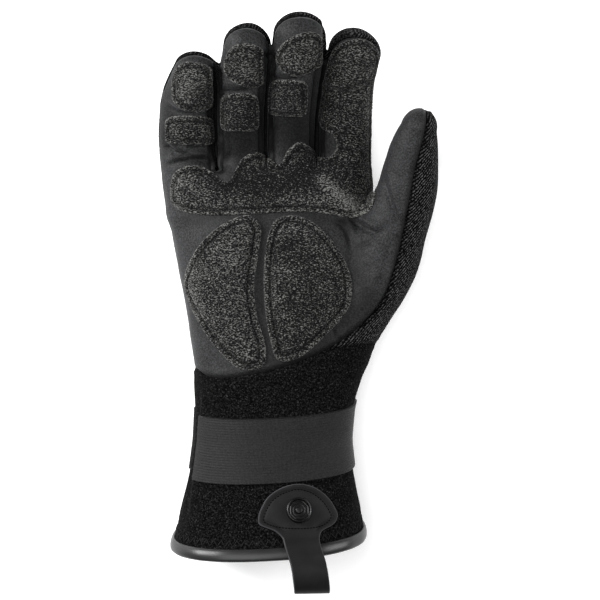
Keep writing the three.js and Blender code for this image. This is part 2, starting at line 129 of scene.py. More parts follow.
THUMB = (
    (36, -24, 21, 14, 16),
    (44, -6, 21.5, 17, 17.5),
    (54.3, 12, 23, 17.5, 17),
    (60.5, 31, 27, 16.3, 15.5),
    (66, 46, 31.5, 14.6, 14),
    (68.4, 60, 36, 12.6, 12.4),
    (70, 69.6, 40, 10.8, 10.8),
    (71.8, 77, 43.4, 8.4, 8.8),
)

# Height of the side seam: y, on the hand, on the thumb
SIDE_SEAM = np.array((
    (-150, 17, 17),
    (12, 16, 19),
    (46, 15.5, 27.5),
    (62, 17.5, 33.5),
    (79, 26, 42),
    (96, 39, 45),
    (114, 54, 54),
    (150, 78, 78),
), float)
SEAM_BLEND = (50.0, 56.0)  # across the web, from the hand's height to the thumb's

# The palm panel's edge in plan, from the thumb's tip round the heel of the hand
PALM_EDGE = (
    (74, 100), (74.8, 78), (69.4, 56), (65.4, 33), (61.5, 15), (54.5, -5),
    (38, -22), (15, -34), (-10, -40.6), (-28, -41.4), (-37, -36),
)
FAR_LEFT = -90.0
FAR_UP = 160.0

STRIP_HALF = 3.0
SLOT_HALF = 0.8  # half the gap between two fingers, above the level where they touch

# The slits between the fingers: node, x at the root, half way and at the end, y of the root and the end
SLITS = (
    ("fourchette_pinky_ring", (-24.4, -25, -25), 57.4, 103),
    ("fourchette_ring_middle", (-0.6, -1.2, 0.8), 57.4, 110),
    ("fourchette_middle_index", (23.4, 23.6, 26.4), 57.4, 108),
)

# Where two fingers touch: y, height of the touching band's middle in each slit
TOUCH = (
    (52, 14, 14, 14),
    (62, 15, 15, 15),
    (78, 21, 23, 22),
    (92, 31, 33, 31),
    (103, 41, 42, 39),
    (114, 52, 52, 49),
)
TOUCH_HALF = 4.0

PAD_ULNAR = (
    (-9, 35.4), (-3.4, 30.5), (-4.2, 18), (-6.4, 2), (-5, -12), (-0.8, -27), (-2, -36),
    (-12, -38), (-24, -28), (-36, -8.5), (-39.4, 5), (-33, 20.5), (-20, 32),
)
PAD_RADIAL = (
    (12, 35.4), (4, 33.4), (0.2, 25), (-1.7, 9), (-1.4, -6), (1, -22), (5, -33.4),
    (14, -32.6), (28, -21), (39, -7.5), (39.6, 6), (33, 20), (22, 31.8),
)
KNUCKLE = (
    (-44.5, 56.3), (-35.75, 59.8), (-27, 56.8), (-19.4, 51.4),
    (-12.5, 62.5), (-5.75, 66), (1, 63), (5.6, 60),
    (9.8, 67.1), (15.6, 70.6), (21.2, 67.6), (25.4, 63.8), (30.6, 64.4), (33, 69.2), (30.8, 74.2),
    (26, 77.6), (25, 90), (33.4, 114.6), (57.6, 113.6), (51.6, 82), (51.6, 46),
    (49, 38), (41, 34.6), (20, 37), (-34.6, 36), (-44.6, 40), (-46.6, 46),
)

# Patches of the other fingers: node, x, y, half width, half length, turn in degrees, fullness
FINGER_PATCHES = (
    ("patch_pinky_tip", -34.8, 95.6, 10, 11, -8, 2.8),
    ("patch_pinky_mid", -37.2, 76, 11.6, 6.6, 0, 5),
    ("patch_ring_tip", -9.4, 105, 10.6, 9.6, -12, 2.3),
    ("patch_ring_mid", -13.2, 84, 8.9, 8.6, 0, 5),
    ("patch_middle_tip", 16.2, 110, 12, 8.6, 24, 2.4),
    ("patch_middle_mid", 9.9, 90.4, 9, 8.2, -3, 5),
)

# Painted light and shade on the grip knit, with some rubbed wear: lines in plan, half widths and strengths;
# above 0 lighter, along worn edges and edges lit from the left, below 0 painted shade, in the middle of the
# knuckle panel, on the index finger, on the finger patches and on the radial pad
WEAR_AND_PAINTED_LIGHT = (
    (((26, 52), (34, 45), (42, 38), (47, 35)), 3.0, 2.0),
    (((50, 52), (48.5, 66), (48, 86)), 2.5, 1.4),
    (((-42, 56), (-45, 48), (-42, 41)), 3.0, 1.0),
    (((-35, 18), (-37, 4), (-31, -12)), 3.5, 1.0),
    (((-36, 97), (-42, 90)), 4.0, 0.8),
    (((-18, 52), (4, 50), (20, 58)), 9.0, -1.8),
    (((36, 52), (36, 74), (34, 90)), 6.0, -0.7),
    (((-13, 84), (10, 90)), 9.0, -0.7),
    (((10, 24), (20, 4), (14, -20)), 11.0, -0.8),
)

# Painted light and shade on the suede, in the same form: painted light above 0, down the left edge that
# faces the key light and on the thumb, and painted shade below 0, between the fingers, round the pads and
# along the pinky's left side
PAINTED_SUEDE_LIGHT_AND_SHADE = (
    (((-26, 62), (-12, 76), (10, 80), (22, 66)), 13.0, -1.4),
    (((-38, 33), (-10, 37), (10, 37), (36, 33)), 3.6, -1.2),
    (((-2, 30), (-1, 0), (2, -34)), 4.6, -1.3),
    (((37, 30), (42, 18), (42, 6)), 5.0, -1.1),
    (((48, -4), (32, -22), (10, -33)), 6.0, -1.3),
    (((-50, 94), (-50, 72)), 5.0, -1.2),
    (((-49, 56), (-46, 30), (-40, -6), (-36, -36)), 5.0, 0.6),
    (((68, 70), (60, 44), (54, 20)), 8.0, 0.3),
)

# The pull tab's inner face: y, left, right, height over the skin, or height above the ground past the hem
TAB_ON_CUFF = (
    (-91.5, 12.6, 16.4, 0.35),
    (-93.2, 6.8, 21.8, 0.35),
    (-97, 0.8, 27.2, 0.35),
    (-102, -2.6, 31, 0.35),
    (-107, -4.3, 32.8, 0.35),
    (-110.5, -3.4, 30.8, 0.4),
    (-113.5, 3.6, 25.6, 0.5),
    (-116.5, 6.8, 24.4, 0.8),
    (-119.8, 8, 24.8, 2.4),
    (-126, 10, 26.8, 2.5),
)
TAB_LOOP = (
    (-131.5, 11.4, 28.2, 60.6),
    (-137, 12.2, 29, 60),
    (-139.8, 12.5, 29.3, 58),
    (-140.9, 12.6, 29.4, 54.6),
    (-139.8, 12.5, 29.3, 50.4),
    (-137, 12.2, 29, 48.2),
    (-131, 11.2, 28, 47.6),
    (-124, 9.6, 26.4, 47.4),
    (-116, 8, 24.8, 45.8),
)
LOOP_ARCH = 0.6  # how much of the cuff's arch the loop keeps past the hem

SNAP_TOP = (14.9866, -103.1048, 55.9804)  # middle of the boss's flat top
SNAP_AXIS = (0.1364286, 0.2314333, 0.9632372)


class Slot(Enum):
    """The glove's material slots."""

    SUEDE = "suede"
    GRIP = "grip"
    PLUSH = "plush"
    KNIT = "knit"
    ELASTIC = "elastic"
    BINDING = "binding"
    TAB = "tab"
    SNAP = "snap"


def curve_through(rows: Sequence | Array, closed: bool, steps: int, keys: Array | None = None) -> Array:
    """Follows a centripetal Catmull-Rom curve through rows of values.

    Args:
        rows: the values to pass through, one entry for each knot.
        closed: whether the curve returns to its start.
        steps: points for each stretch between two knots.
        keys: places that set the knots' spacing, the rows themselves if left out.

    Returns:
        The points, and the last knot too where the curve is open.
    """
    values = np.asarray(rows, float)
    places = values if keys is None else np.asarray(keys, float)

    def padded(table: Array) -> Array:
        """Adds the knots that the first and last stretch need beyond themselves.

        Args:
            table: the knots.

        Returns:
            The knots with one or two more at each end.
        """
        if closed:
            return np.concatenate([table[-1:], table, table[:2]])
        return np.concatenate([2 * table[:1] - table[1:2], table, 2 * table[-1:] - table[-2:-1]])

    knots, sites = padded(values), padded(places)
    stretches = len(values) if closed else len(values) - 1
    found = []
    for i in range(stretches):
        p0, p1, p2, p3 = knots[i:i + 4]
        gaps = np.linalg.norm(np.diff(sites[i:i + 4], axis=0).reshape(3, -1), axis=1) ** 0.5
        t0, t1, t2, t3 = np.concatenate([[0], np.cumsum(np.maximum(gaps, 1e-6))])
        t = np.linspace(t1, t2, steps, endpoint=False).reshape((-1,) + (1,) * (values.ndim - 1))
        a1 = (t1 - t) / (t1 - t0) * p0 + (t - t0) / (t1 - t0) * p1
        a2 = (t2 - t) / (t2 - t1) * p1 + (t - t1) / (t2 - t1) * p2
        a3 = (t3 - t) / (t3 - t2) * p2 + (t - t2) / (t3 - t2) * p3
        b1 = (t2 - t) / (t2 - t0) * a1 + (t - t0) / (t2 - t0) * a2
        b2 = (t3 - t) / (t3 - t1) * a2 + (t - t1) / (t3 - t1) * a3
        found.append((t2 - t) / (t2 - t1) * b1 + (t - t1) / (t2 - t1) * b2)
    if not closed:
        found.append(values[-1:])
    return np.concatenate(found)


def evenly(points: Array, pitch: float, closed: bool = False) -> Array:
    """Respaces a line of points evenly along its length.

    Args:
        points: the line, a row for each point, whose first three values at most are its place.
        pitch: the wanted spacing.
        closed: whether the line returns to its start.

    Returns:
        The respaced points.
    """
    line = np.concatenate([points, points[:1]]) if closed else points
    along = distance_along(line[:, :3])
    count = max(3, round(along[-1] / pitch))
    wanted = np.linspace(0, along[-1], count + 1)
    spaced = columns(*(np.interp(wanted, along, column) for column in line.T))
    return spaced[:-1] if closed else spaced


def smooth_min(a: Array, b: Array, width: float) -> Array:
    """The lesser of two distances, blended over a width."""
    share = np.clip(0.5 + 0.5 * (b - a) / width, 0, 1)
    return b + (a - b) * share - width * share * (1 - share)


def smooth_step(value: Array, low: float, high: float) -> Array:
    """Rises from 0 at low to 1 at high."""
    share = np.clip((value - low) / (high - low), 0, 1)
    return share * share * (3 - 2 * share)


def bell(value: Array, width: float) -> Array:
    """A smooth bump of height 1 and about that half width."""
    return np.exp(-((value / width) ** 2))


def rounded_edge(depth: Array, radius: float) -> Array:
    """Height of a rounded edge, from 0 at its foot to 1 a radius further in."""
    return np.sqrt(np.clip(1 - (1 - np.clip(depth / radius, 0, 1)) ** 2, 0, 1))


def squared(share: Array, full: Array | float) -> Array:
    """A sine or cosine as for a rounded square of this fullness, which is 2 for a circle."""
    return np.sign(share) * np.abs(share) ** (2 / full)


def columns(*parts: Array) -> Array:
    """Lists of values as the columns of one array."""
    return np.stack(parts, axis=1)


def unit(vectors: Array, least: float = 1e-12) -> Array:
    """The vectors at length 1, or less where they are shorter than the least length."""
    return vectors / np.maximum(np.linalg.norm(vectors, axis=-1, keepdims=True), least)


def distance_along(line: Array) -> Array:
    """How far along a line each of its points lies."""
    return np.concatenate([[0], np.cumsum(np.linalg.norm(np.diff(line, axis=0), axis=1))])


def within(places: Array, line: Array, margin: float) -> Array:
    """Which places lie in the box round a line in plan, widened by a margin."""
    over = places[:, :2] > line.min(0) - margin
    return (over & (places[:, :2] < line.max(0) + margin)).all(1)


NOISE_SIDE = 64
NOISE_SHIFT = 1000.0  # in cells, so that no place lies at the lattice's own start
LATTICE = np.random.default_rng(SEED).uniform(-1, 1, (NOISE_SIDE,) * 3)


def noise_at(points: Array, cell: float) -> Array:
    """Reads smooth seeded noise between -1 and 1.

    Args:
        points: places in millimetres.
        cell: size of one cell of the lattice.

    Returns:
        A value for each point.
    """
    place = points / cell + NOISE_SHIFT
    low = np.floor(place).astype(int)
    share = smooth_step(place - low, 0, 1)
    total = np.zeros(len(points))
    for corner in np.ndindex(2, 2, 2):
        at = (low + corner) % NOISE_SIDE
        weight = np.prod(np.where(np.array(corner) == 1, share, 1 - share), axis=1)
        total += weight * LATTICE[tuple(at.T)]
    return total


@dataclass
class Outline:
    """A closed line in plan."""

    points: Array  # its corners in order, x and y

    BLOCK = 20000  # places measured at once
    PITCH = 0.8  # spacing of an inset line's points
    KEPT = 0.93  # an inset point nearer to the line than this share of the inset is dropped

    @classmethod
    def through(cls, rows: Sequence) -> "Outline":
        """A smooth closed line through a few points."""
        return cls(curve_through(rows, True, 10))

    @classmethod
    def rounded(cls, x: float, y: float, wide: float, long: float, turn: float, full: float) -> "Outline":
        """Squares up an ellipse by its fullness.

        Args:
            x, y: its middle.
            wide, long: its half sizes.
            turn: degrees to the left.
            full: 2 for an ellipse, more for a squarer form.

        Returns:
            The outline.
        """
        t = np.linspace(0, 2 * math.pi, 96, endpoint=False)
        u = wide * squared(np.cos(t), full)
        v = long * squared(np.sin(t), full)
        c, s = math.cos(math.radians(turn)), math.sin(math.radians(turn))
        return cls(columns(x + u * c - v * s, y + u * s + v * c))

    def depth(self, places: Array) -> Array:
        """How far inside the line each place lies, below 0 outside it.

        Args:
            places: x and y in the first two columns.

        Returns:
            The signed distances.
        """
        start, end = self.points, np.roll(self.points, -1, axis=0)
        away = np.empty(len(places))
        for i in range(0, len(places), self.BLOCK):
            p = places[i:i + self.BLOCK, None, :2]
            run = (end - start)[None]
            share = ((p - start[None]) * run).sum(2) / np.maximum((run * run).sum(2), 1e-12)
            nearest = start[None] + np.clip(share, 0, 1)[..., None] * run
            distance = np.sqrt(((p - nearest) ** 2).sum(2).min(1))
            x, y = p[..., 0], p[..., 1]
            spans = (start[None, :, 1] > y) != (end[None, :, 1] > y)
            slope = run[..., 0] / np.where(run[..., 1] == 0, 1e-12, run[..., 1])
            crosses = spans & (x < start[None, :, 0] + (y - start[None, :, 1]) * slope)
            inside = crosses.sum(1) % 2 == 1
            away[i:i + self.BLOCK] = np.where(inside, distance, -distance)
        return away

    def inset(self, amount: float) -> Array:
        """Draws the line a distance inside this one.

        Args:
            amount: the distance.

        Returns:
            The points, evenly spaced.
        """
        line = evenly(self.points, self.PITCH, closed=True)
        along = unit(np.roll(line, -1, axis=0) - np.roll(line, 1, axis=0))
        aside = columns(-along[:, 1], along[:, 0])
        if self.depth(line[:1] + aside[:1] * amount)[0] < 0:
            aside = -aside
        moved = line + aside * amount
        kept = moved[self.depth(moved) > self.KEPT * amount]
        return evenly(kept, self.PITCH, closed=True)


def distance_to_line(places: Array, line: Array) -> tuple[Array, Array]:
    """Measures places against an open line in plan.

    Args:
        places: x and y in the first two columns.
        line: the line's points.

    Returns:
        The distance of each place, above 0 on the line's left, and its share of the way along the line.
    """
    start, run = line[:-1], np.diff(line, axis=0)
    p = places[:, None, :2]
    share = np.clip(((p - start) * run).sum(2) / np.maximum((run * run).sum(1), 1e-12), 0, 1)
    gaps = np.linalg.norm(p - start - share[..., None] * run, axis=2)
    nearest = gaps.argmin(1)
    rows = np.arange(len(places))
    away = places[:, :2] - start[nearest]
    left = run[nearest, 0] * away[:, 1] - run[nearest, 1] * away[:, 0]
    return gaps[rows, nearest] * np.where(left > 0, 1, -1), (nearest + share[rows, nearest]) / len(run)


def painted_strokes(places: Array, table: Sequence) -> Array:
    """Sums a table's strokes of painted light and shade at places.

    Args:
        places: x and y in the first two columns.
        table: lines in plan, with the half width and the strength of each.

    Returns:
        The strength at each place.
    """
    total = np.zeros(len(places))
    for rows, width, strength in table:
        line = np.array(rows, float)
        near = np.flatnonzero(within(places, line, 3 * width))
        gap, _ = distance_to_line(places[near], line)
        total[near] += strength * bell(gap, width)
    return total


class HandForm:
    """The hand and cuff without fingers, as a field of distances to the skin."""

    STEP = 0.5
    BLUR = 3.0  # length over which neighbouring sections melt together
    FLAT_BLEND = 3.0  # rounding round the flat that it rests on
    END_BLEND = 5.0
    GUESS_HEIGHT = 25.0
    GUESSES = 6
    CORRECTIONS = 4

    # Cushions and hollows of the palm: x, y, half width, half length, height
    MOUNDS = (
        (-20, -4, 15, 30, 1.3),
        (20, -2, 16, 28, 1.7),
        (-2.4, 2, 5, 34, -1.5),
    )

    def __init__(self) -> None:
        """Spaces the sections finely along y and smooths them."""
        rows = np.array(HAND_SECTIONS, float)
        self.y = np.arange(rows[0, 0], HAND_END + 8, self.STEP)
        reach = int(3 * self.BLUR / self.STEP)
        kernel = bell(np.arange(-reach, reach + 1) * self.STEP, self.BLUR)
        kernel /= kernel.sum()
        table = [np.interp(self.y, rows[:, 0], rows[:, k]) for k in range(1, 5)]
        self.table = [np.convolve(np.pad(c, reach, mode="edge"), kernel, "valid") for c in table]

    def section(self, y: Array) -> tuple[Array, ...]:
        """Left, right, bottom, top and the widest level at y."""
        left, right, bottom, top = (np.interp(y, self.y, column) for column in self.table)
        return left, right, bottom, top, bottom + MIDDLE_SHARE * (top - bottom)

    @staticmethod
    def leaning(y: Array | float, x: Array, z: Array) -> Array:
        """Place in y of a plane across the cuff that crosses the axis at y."""
        return y + CUFF_LEAN[0] * x + CUFF_LEAN[1] * z

    def mounds(self, x: Array, y: Array) -> Array:
        """How far cushions, hollows and the pads at the finger roots move the palm's skin.

        Args:
            x, y: places in plan.

        Returns:
            A height for each place.
        """
        found = np.zeros_like(x)
        for middle_x, middle_y, wide, long, height in self.MOUNDS:
            found += height * np.exp(-(((x - middle_x) / wide) ** 2) - ((y - middle_y) / long) ** 2)
        return found + 1.1 * bell(y - 47, 10) * (0.6 + 0.4 * np.cos((x + 13) * 2 * math.pi / 24))

    def distance(self, p: Array) -> Array:
        """Measures points against the skin.

        Args:
            p: the points.

        Returns:
            A distance for each, below 0 inside.
        """
        x, y, z = p.T
        left, right, bottom, top, middle = self.section(y)
        half = (right - left) / 2
        rise = z - middle
        upper = rise > 0
        up = top - middle + self.mounds(x, y)
        high = np.where(upper, up, (middle - bottom) * SAG_SHARE)
        full = np.where(upper, UPPER_FULLNESS, LOWER_FULLNESS)
        a = np.maximum(np.abs(x - (left + right) / 2) / half, 1e-4)
        b = np.maximum(np.abs(rise) / high, 1e-4)
        size = (a**full + b**full) ** (1 / full)
        slope = np.hypot(a ** (full - 1) / half, b ** (full - 1) / high) * size ** (1 - full)
        gap = (size - 1) / np.maximum(slope, 1e-6)
        gap = -smooth_min(-gap, -(bottom - z), self.FLAT_BLEND)
        return -smooth_min(-gap, -(y - HAND_END), self.END_BLEND)

    def height(self, x: Array, y: Array) -> Array:
        """Height of the upper skin at places in plan.

        Args:
            x, y: the places.

        Returns:
            A height for each.
        """
        left, right, _, top, middle = self.section(y)
        across = np.clip(np.abs(2 * x - left - right) / (right - left), 0, 1)
        rise = (1 - across**UPPER_FULLNESS) ** (1 / UPPER_FULLNESS)
        return middle + (top - middle + self.mounds(x, y)) * rise

    def around(self, angles: Array, y: Array, offset: Array | float) -> Array:
        """Points round the cuff in a leaning plane, at an offset from the skin.

        Args:
            angles: where round the cuff, 0 at the thumb's side and a quarter turn on top.
            y: where the plane crosses the axis.
            offset: distance outside the skin.

        Returns:
            A point for each angle.
        """
        x, z = np.zeros_like(angles), np.full_like(angles, self.GUESS_HEIGHT)
        wide, tall = np.cos(angles), np.sin(angles)
        full = np.where(tall > 0, UPPER_FULLNESS, LOWER_FULLNESS)
        for _ in range(self.GUESSES):
            left, right, bottom, top, middle = self.section(self.leaning(y, x, z))
            reach = np.where(tall > 0, top - middle, (middle - bottom) * SAG_SHARE)
            x = (left + right) / 2 + (right - left) / 2 * squared(wide, full)
            z = np.maximum(middle + reach * squared(tall, full), bottom)
        points = columns(x, self.leaning(y, x, z), z)
        for _ in range(self.CORRECTIONS):
            value = self.distance(points) - offset
            slope = gradient(self.distance, points)
            slope[:, 1] = 0
            points -= slope * (value / np.maximum((slope**2).sum(1), 0.2))[:, None]
            points[:, 1] = self.leaning(y, points[:, 0], points[:, 2])
        return points


def gradient(field: Field, p: Array, step: float = 0.3) -> Array:
    """Slope of a field at points, by differences over a step to each side."""
    return columns(*((field(p + shift) - field(p - shift)) / (2 * step) for shift in step * np.eye(3)))


class DigitForm:
    """A finger or the thumb, as a field of distances round its centre line."""

    PITCH = 1.2
    MARGIN = 15.0
    STEPS = 24
    BLOCK = 40000  # points measured at once

    def __init__(self, rows: Sequence) -> None:
        """Works out the centre line's stations and the directions across them.

        Args:
            rows: stations with x, y, z, half width and half height.
        """
        table = np.array(rows, float)
        line = evenly(curve_through(table, False, self.STEPS, keys=table[:, :3]), self.PITCH)
        self.centre, self.half = line[:, :3], line[:, 3:]
        self.step = np.linalg.norm(np.diff(self.centre, axis=0), axis=1).mean()
        self.along = unit(np.gradient(self.centre, axis=0))
        self.side = unit(columns(self.along[:, 1], -self.along[:, 0], np.zeros(len(line))))
        self.out = np.cross(self.side, self.along)
        reach = self.MARGIN + self.half.max()
        self.low, self.top = self.centre.min(0) - reach, self.centre.max(0) + reach

    def near(self, p: Array) -> Array:
        """Which points are close enough for this digit to matter."""
        return ((p > self.low) & (p < self.top)).all(1)

    def distance(self, p: Array) -> Array:
        """Signed distance of each point to the digit's skin, below 0 inside."""
        parts = [self._distance(p[i:i + self.BLOCK]) for i in range(0, len(p), self.BLOCK)]
        return np.concatenate(parts) if parts else np.zeros(0)

    def _distance(self, p: Array) -> Array:
        """The distances of one block of points.

        Args:
            p: the points.

        Returns:
            A distance for each, below 0 inside.
        """
        score = (self.centre**2).sum(1)[None] - 2 * p @ self.centre.T
        nearest = score.argmin(1)
        run = ((p - self.centre[nearest]) * self.along[nearest]).sum(1)
        last = len(self.centre) - 1
        t = nearest + run / self.step
        beyond = np.where(t > last, (t - last) * self.step, np.where(t < 0, -t * self.step, 0))
        t = np.clip(t, 0, last - 1e-6)
        low = t.astype(int)
        share = (t - low)[:, None]

        def between(values: Array) -> Array:
            """A value part way between two stations."""
            return values[low] * (1 - share) + values[low + 1] * share

        away = p - between(self.centre)
        wide, high = between(self.half).T
        u = (away * between(self.side)).sum(1) / wide
        v = (away * between(self.out)).sum(1) / high
        w = beyond / high
        size = np.sqrt(u * u + v * v + w * w)
        slope = np.sqrt((u / wide) ** 2 + (v / high) ** 2 + (w / high) ** 2)
        return size * (size - 1) / np.maximum(slope, 1e-6)


class GloveForm:
    """The whole glove's skin as one field, with the fingers parted by slots."""

    FINGER_BLEND = 0.8
    KNUCKLE_BLEND = 5.0
    THUMB_BLEND = 6.0
    SLOT_BLEND = 1.2
    TOUCH_WIDE = 1.6  # half the width of the band that joins two fingers
    TOUCH_PAST = 4.0  # how far it runs on past a slit's ends
    TOUCH_BLEND = 2.0
    FAR = 60.0
    PAST_HAND = 12.0  # how far past its end the hand still matters

    def __init__(self) -> None:
        """Makes the parts of the form."""
        self.hand = HandForm()
        self.fingers = {name: DigitForm(rows) for name, rows in FINGERS.items()}
        self.thumb = DigitForm(THUMB)

    @staticmethod
    def slit_x(slit: tuple, y: Array) -> Array:
        """Where a slit runs at y."""
        _, x, root, end = slit
        return np.interp(y, np.linspace(root, end, len(x)), x)

    def distance(self, p: Array) -> Array:
        """Measures points against the skin.

        Args:
            p: the points.

        Returns:
            A distance for each, below 0 inside.
        """
        x, y, z = p.T
        found = np.full(len(p), self.FAR)
        near = y < HAND_END + self.PAST_HAND
        found[near] = self.hand.distance(p[near])
        fingers = np.full(len(p), self.FAR)
        for form in self.fingers.values():
            near = form.near(p)
            fingers[near] = smooth_min(fingers[near], form.distance(p[near]), self.FINGER_BLEND)
        found = smooth_min(found, fingers, self.KNUCKLE_BLEND)
        near = self.thumb.near(p)
        found[near] = smooth_min(found[near], self.thumb.distance(p[near]), self.THUMB_BLEND)
        rows = np.array(TOUCH, float)
        for i, slit in enumerate(SLITS):
            _, _, root, end = slit
            aside = np.abs(x - self.slit_x(slit, y))
            rise = z - np.interp(y, rows[:, 0], rows[:, i + 1])
            slot = np.maximum(aside - SLOT_HALF, np.maximum(root - y, TOUCH_HALF - rise))
            found = -smooth_min(-found, slot, self.SLOT_BLEND)
            ends = np.maximum(root - self.TOUCH_PAST - y, y - end - self.TOUCH_PAST)
            touch = np.maximum(aside - self.TOUCH_WIDE, np.maximum(np.abs(rise) - TOUCH_HALF, ends))
            found = smooth_min(found, touch, self.TOUCH_BLEND)
        return found


@dataclass
class Sheet:
    """A triangle mesh in millimetres."""

    points: Array  # a row for each vertex
    faces: Array  # three vertex numbers for each triangle

    SCRAP = 0.02  # a loose part with a smaller share of the faces is dropped
    CELL = 2e-3  # vertices in one cell of this size are one vertex
    LEVEL = 0.05  # squared slope of a region below which no vertex is moved onto its edge
    MISS = 0.05  # how far from the edge a moved vertex may end up

    def normals(self) -> Array:
        """Averages the faces' directions at the vertices, weighted by area.

        Returns:
            A unit vector for each vertex.
        """
        a, b, c = (self.points[self.faces[:, k]] for k in range(3))
        across = np.cross(b - a, c - a)
        flat = self.faces.ravel()
        return unit(columns(*(np.bincount(flat, np.repeat(part, 3), len(self.points)) for part in across.T)))

    def sides(self) -> Array:
        """The sides of all faces, each in the direction that its face runs."""
        return np.concatenate([self.faces[:, [0, 1]], self.faces[:, [1, 2]], self.faces[:, [2, 0]]])

    def edges(self) -> Array:
        """Each edge once."""
        return np.unique(np.sort(self.sides(), axis=1), axis=0)

    def rim(self) -> Array:
        """Finds the open edges.

        Returns:
            Two vertex numbers for each, in the direction that its face runs.
        """
        sides = self.sides()
        keys = np.sort(sides, axis=1)
        _, back, counts = np.unique(keys, axis=0, return_inverse=True, return_counts=True)
        return sides[counts[back.reshape(-1)] == 1]

    def tidy(self) -> "Sheet":
        """Drops unused vertices and collapsed faces.

        Returns:
            The mesh that is left.
        """
        f = self.faces[(self.faces != np.roll(self.faces, 1, axis=1)).all(1)]
        used, back = np.unique(f, return_inverse=True)
        return Sheet(self.points[used], back.reshape(-1, 3))

    def without_scraps(self) -> "Sheet":
        """Drops small loose parts.

        Returns:
            The mesh that is left.
        """
        label = np.arange(len(self.points))
        pairs = self.edges()
        while True:
            after = label.copy()
            for end in pairs.T:
                np.minimum.at(after, end, label[pairs].min(1))
            after = after[after]
            if (after == label).all():
                break
            label = after
        part = label[self.faces[:, 0]]
        size = np.bincount(part, minlength=len(label))
        return Sheet(self.points, self.faces[size[part] > self.SCRAP * len(self.faces)]).tidy()

    def relaxed(self, rounds: int) -> "Sheet":
        """Evens the mesh out.

        Args:
            rounds: how often each vertex moves half way to its neighbours' middle.

        Returns:
            The evened mesh.
        """
        pairs = self.edges()
        both = np.concatenate([pairs, pairs[:, ::-1]])
        count = np.maximum(np.bincount(both[:, 0], minlength=len(self.points)), 1)
        points = self.points
        for _ in range(rounds):
            total = [np.bincount(both[:, 0], points[both[:, 1], k], len(points)) for k in range(3)]
            points = points + 0.5 * (columns(*total) / count[:, None] - points)
        return Sheet(points, self.faces)

    def cut(self, region: Field, snap: float = 0.3, limit: Array | None = None) -> "Sheet":
        """Keeps the part where a region's value is above 0, with a smooth cut edge.

        Args:
            region: gives each point's distance inside the region.
            snap: vertices this close to the edge are moved onto it, to spare slivers.
            limit: each vertex's distance inside a second region.

        Returns:
            The part inside.
        """
        points = self.points.copy()
        value = region(points)
        close = np.flatnonzero(np.abs(value) < snap)
        if len(close):
            normal = self.normals()[close]
            slope = gradient(region, points[close], 0.1)
            slope -= (slope * normal).sum(1)[:, None] * normal
            size = (slope**2).sum(1)
            step = slope * (value[close] / np.maximum(size, self.LEVEL))[:, None]
            moved = points[close] - step
            good = (size > self.LEVEL) & (np.abs(region(moved)) < self.MISS)
            good &= np.linalg.norm(step, axis=1) < 2 * snap
            points[close[good]] = moved[good]
            value[close[good]] = 0
        if limit is not None:
            value = np.minimum(value, limit)
        inside = value > 0
        count = inside[self.faces].sum(1)
        kept = [self.faces[count == 3]]
        extra, start = [], len(points)

        def crossing(a: Array, b: Array) -> Array:
            """Finds where edges leave the region.

            Args:
                a: numbers of vertices inside.
                b: numbers of their neighbours outside.

            Returns:
                The number of the vertex on each edge.
            """
            nonlocal start
            edges, back = np.unique(columns(a, b), axis=0, return_inverse=True)
            near, far = edges.T
            share = value[near] / np.maximum(value[near] - value[far], 1e-12)
            new = np.where(value[far] == 0, far, start + np.arange(len(edges)))
            extra.append(points[near] + share[:, None] * (points[far] - points[near]))
            start += len(edges)
            return new[back.reshape(-1)]

        for want in (1, 2):
            faces = self.faces[count == want]
            odd = inside[faces] if want == 1 else ~inside[faces]
            turn = odd.argmax(1)
            rows = np.arange(len(faces))
            a, b, c = (faces[rows, (turn + k) % 3] for k in range(3))
            ends = np.concatenate([a, a]), np.concatenate([b, c])
            on_b, on_c = np.split(crossing(*(ends if want == 1 else ends[::-1])), 2)
            if want == 1:
                kept.append(columns(a, on_b, on_c))
            else:
                kept += [columns(b, c, on_c), columns(b, on_c, on_b)]
        return Sheet(np.concatenate([points, *extra]), np.concatenate(kept)).tidy().welded()

    def welded(self) -> "Sheet":
        """Joins vertices that lie in one small cell.

        Returns:
            The joined mesh.
        """
        cells = np.round(self.points / self.CELL).astype(np.int64)
        _, first, back = np.unique(cells, axis=0, return_index=True, return_inverse=True)
        return Sheet(self.points[first], back.reshape(-1)[self.faces]).tidy()

    def divided(self) -> "Sheet":
        """Splits each triangle into four.

        Returns:
            The finer mesh.
        """
        edges, back = np.unique(np.sort(self.sides(), axis=1), axis=0, return_inverse=True)
        a, b, c = self.faces.T
        ab, bc, ca = back.reshape(3, -1) + len(self.points)
        faces = [columns(a, ab, ca), columns(ab, b, bc), columns(ca, bc, c), columns(ab, bc, ca)]
        return Sheet(np.concatenate([self.points, self.points[edges].mean(1)]), np.concatenate(faces))

    def rim_distance(self, skip: Field | None = None) -> Array:
        """How far each vertex lies from the open edges.

        Args:
            skip: tells which rim points don't count, such as those at the hem.

        Returns:
            The distances.
        """
        rim = self.rim()
        line = np.concatenate([self.points[rim[:, 0]], self.points[rim].mean(1)])
        if skip is not None:
            line = line[~skip(line)]
        tree = KDTree(len(line))
        for i, point in enumerate(line):
            tree.insert(point, i)
        tree.balance()
        return np.array([tree.find(point)[2] for point in self.points])

    def raised(self, amount: Array | float) -> "Sheet":
        """The same mesh moved along its normals."""
        return Sheet(self.points + self.normals() * np.reshape(amount, (-1, 1)), self.faces)

    def walled(self, inner: Array) -> "Sheet":
        """Closes the mesh with an inner layer and a wall along the rim.

        Args:
            inner: the inner layer's vertices, one for each vertex.

        Returns:
            The closed shell.
        """
        count = len(self.points)
        a, b = self.rim().T
        wall = [columns(b, a, a + count), columns(b, a + count, b + count)]
        faces = np.concatenate([self.faces, self.faces[:, ::-1] + count, *wall])
        return Sheet(np.concatenate([self.points, inner]), faces)


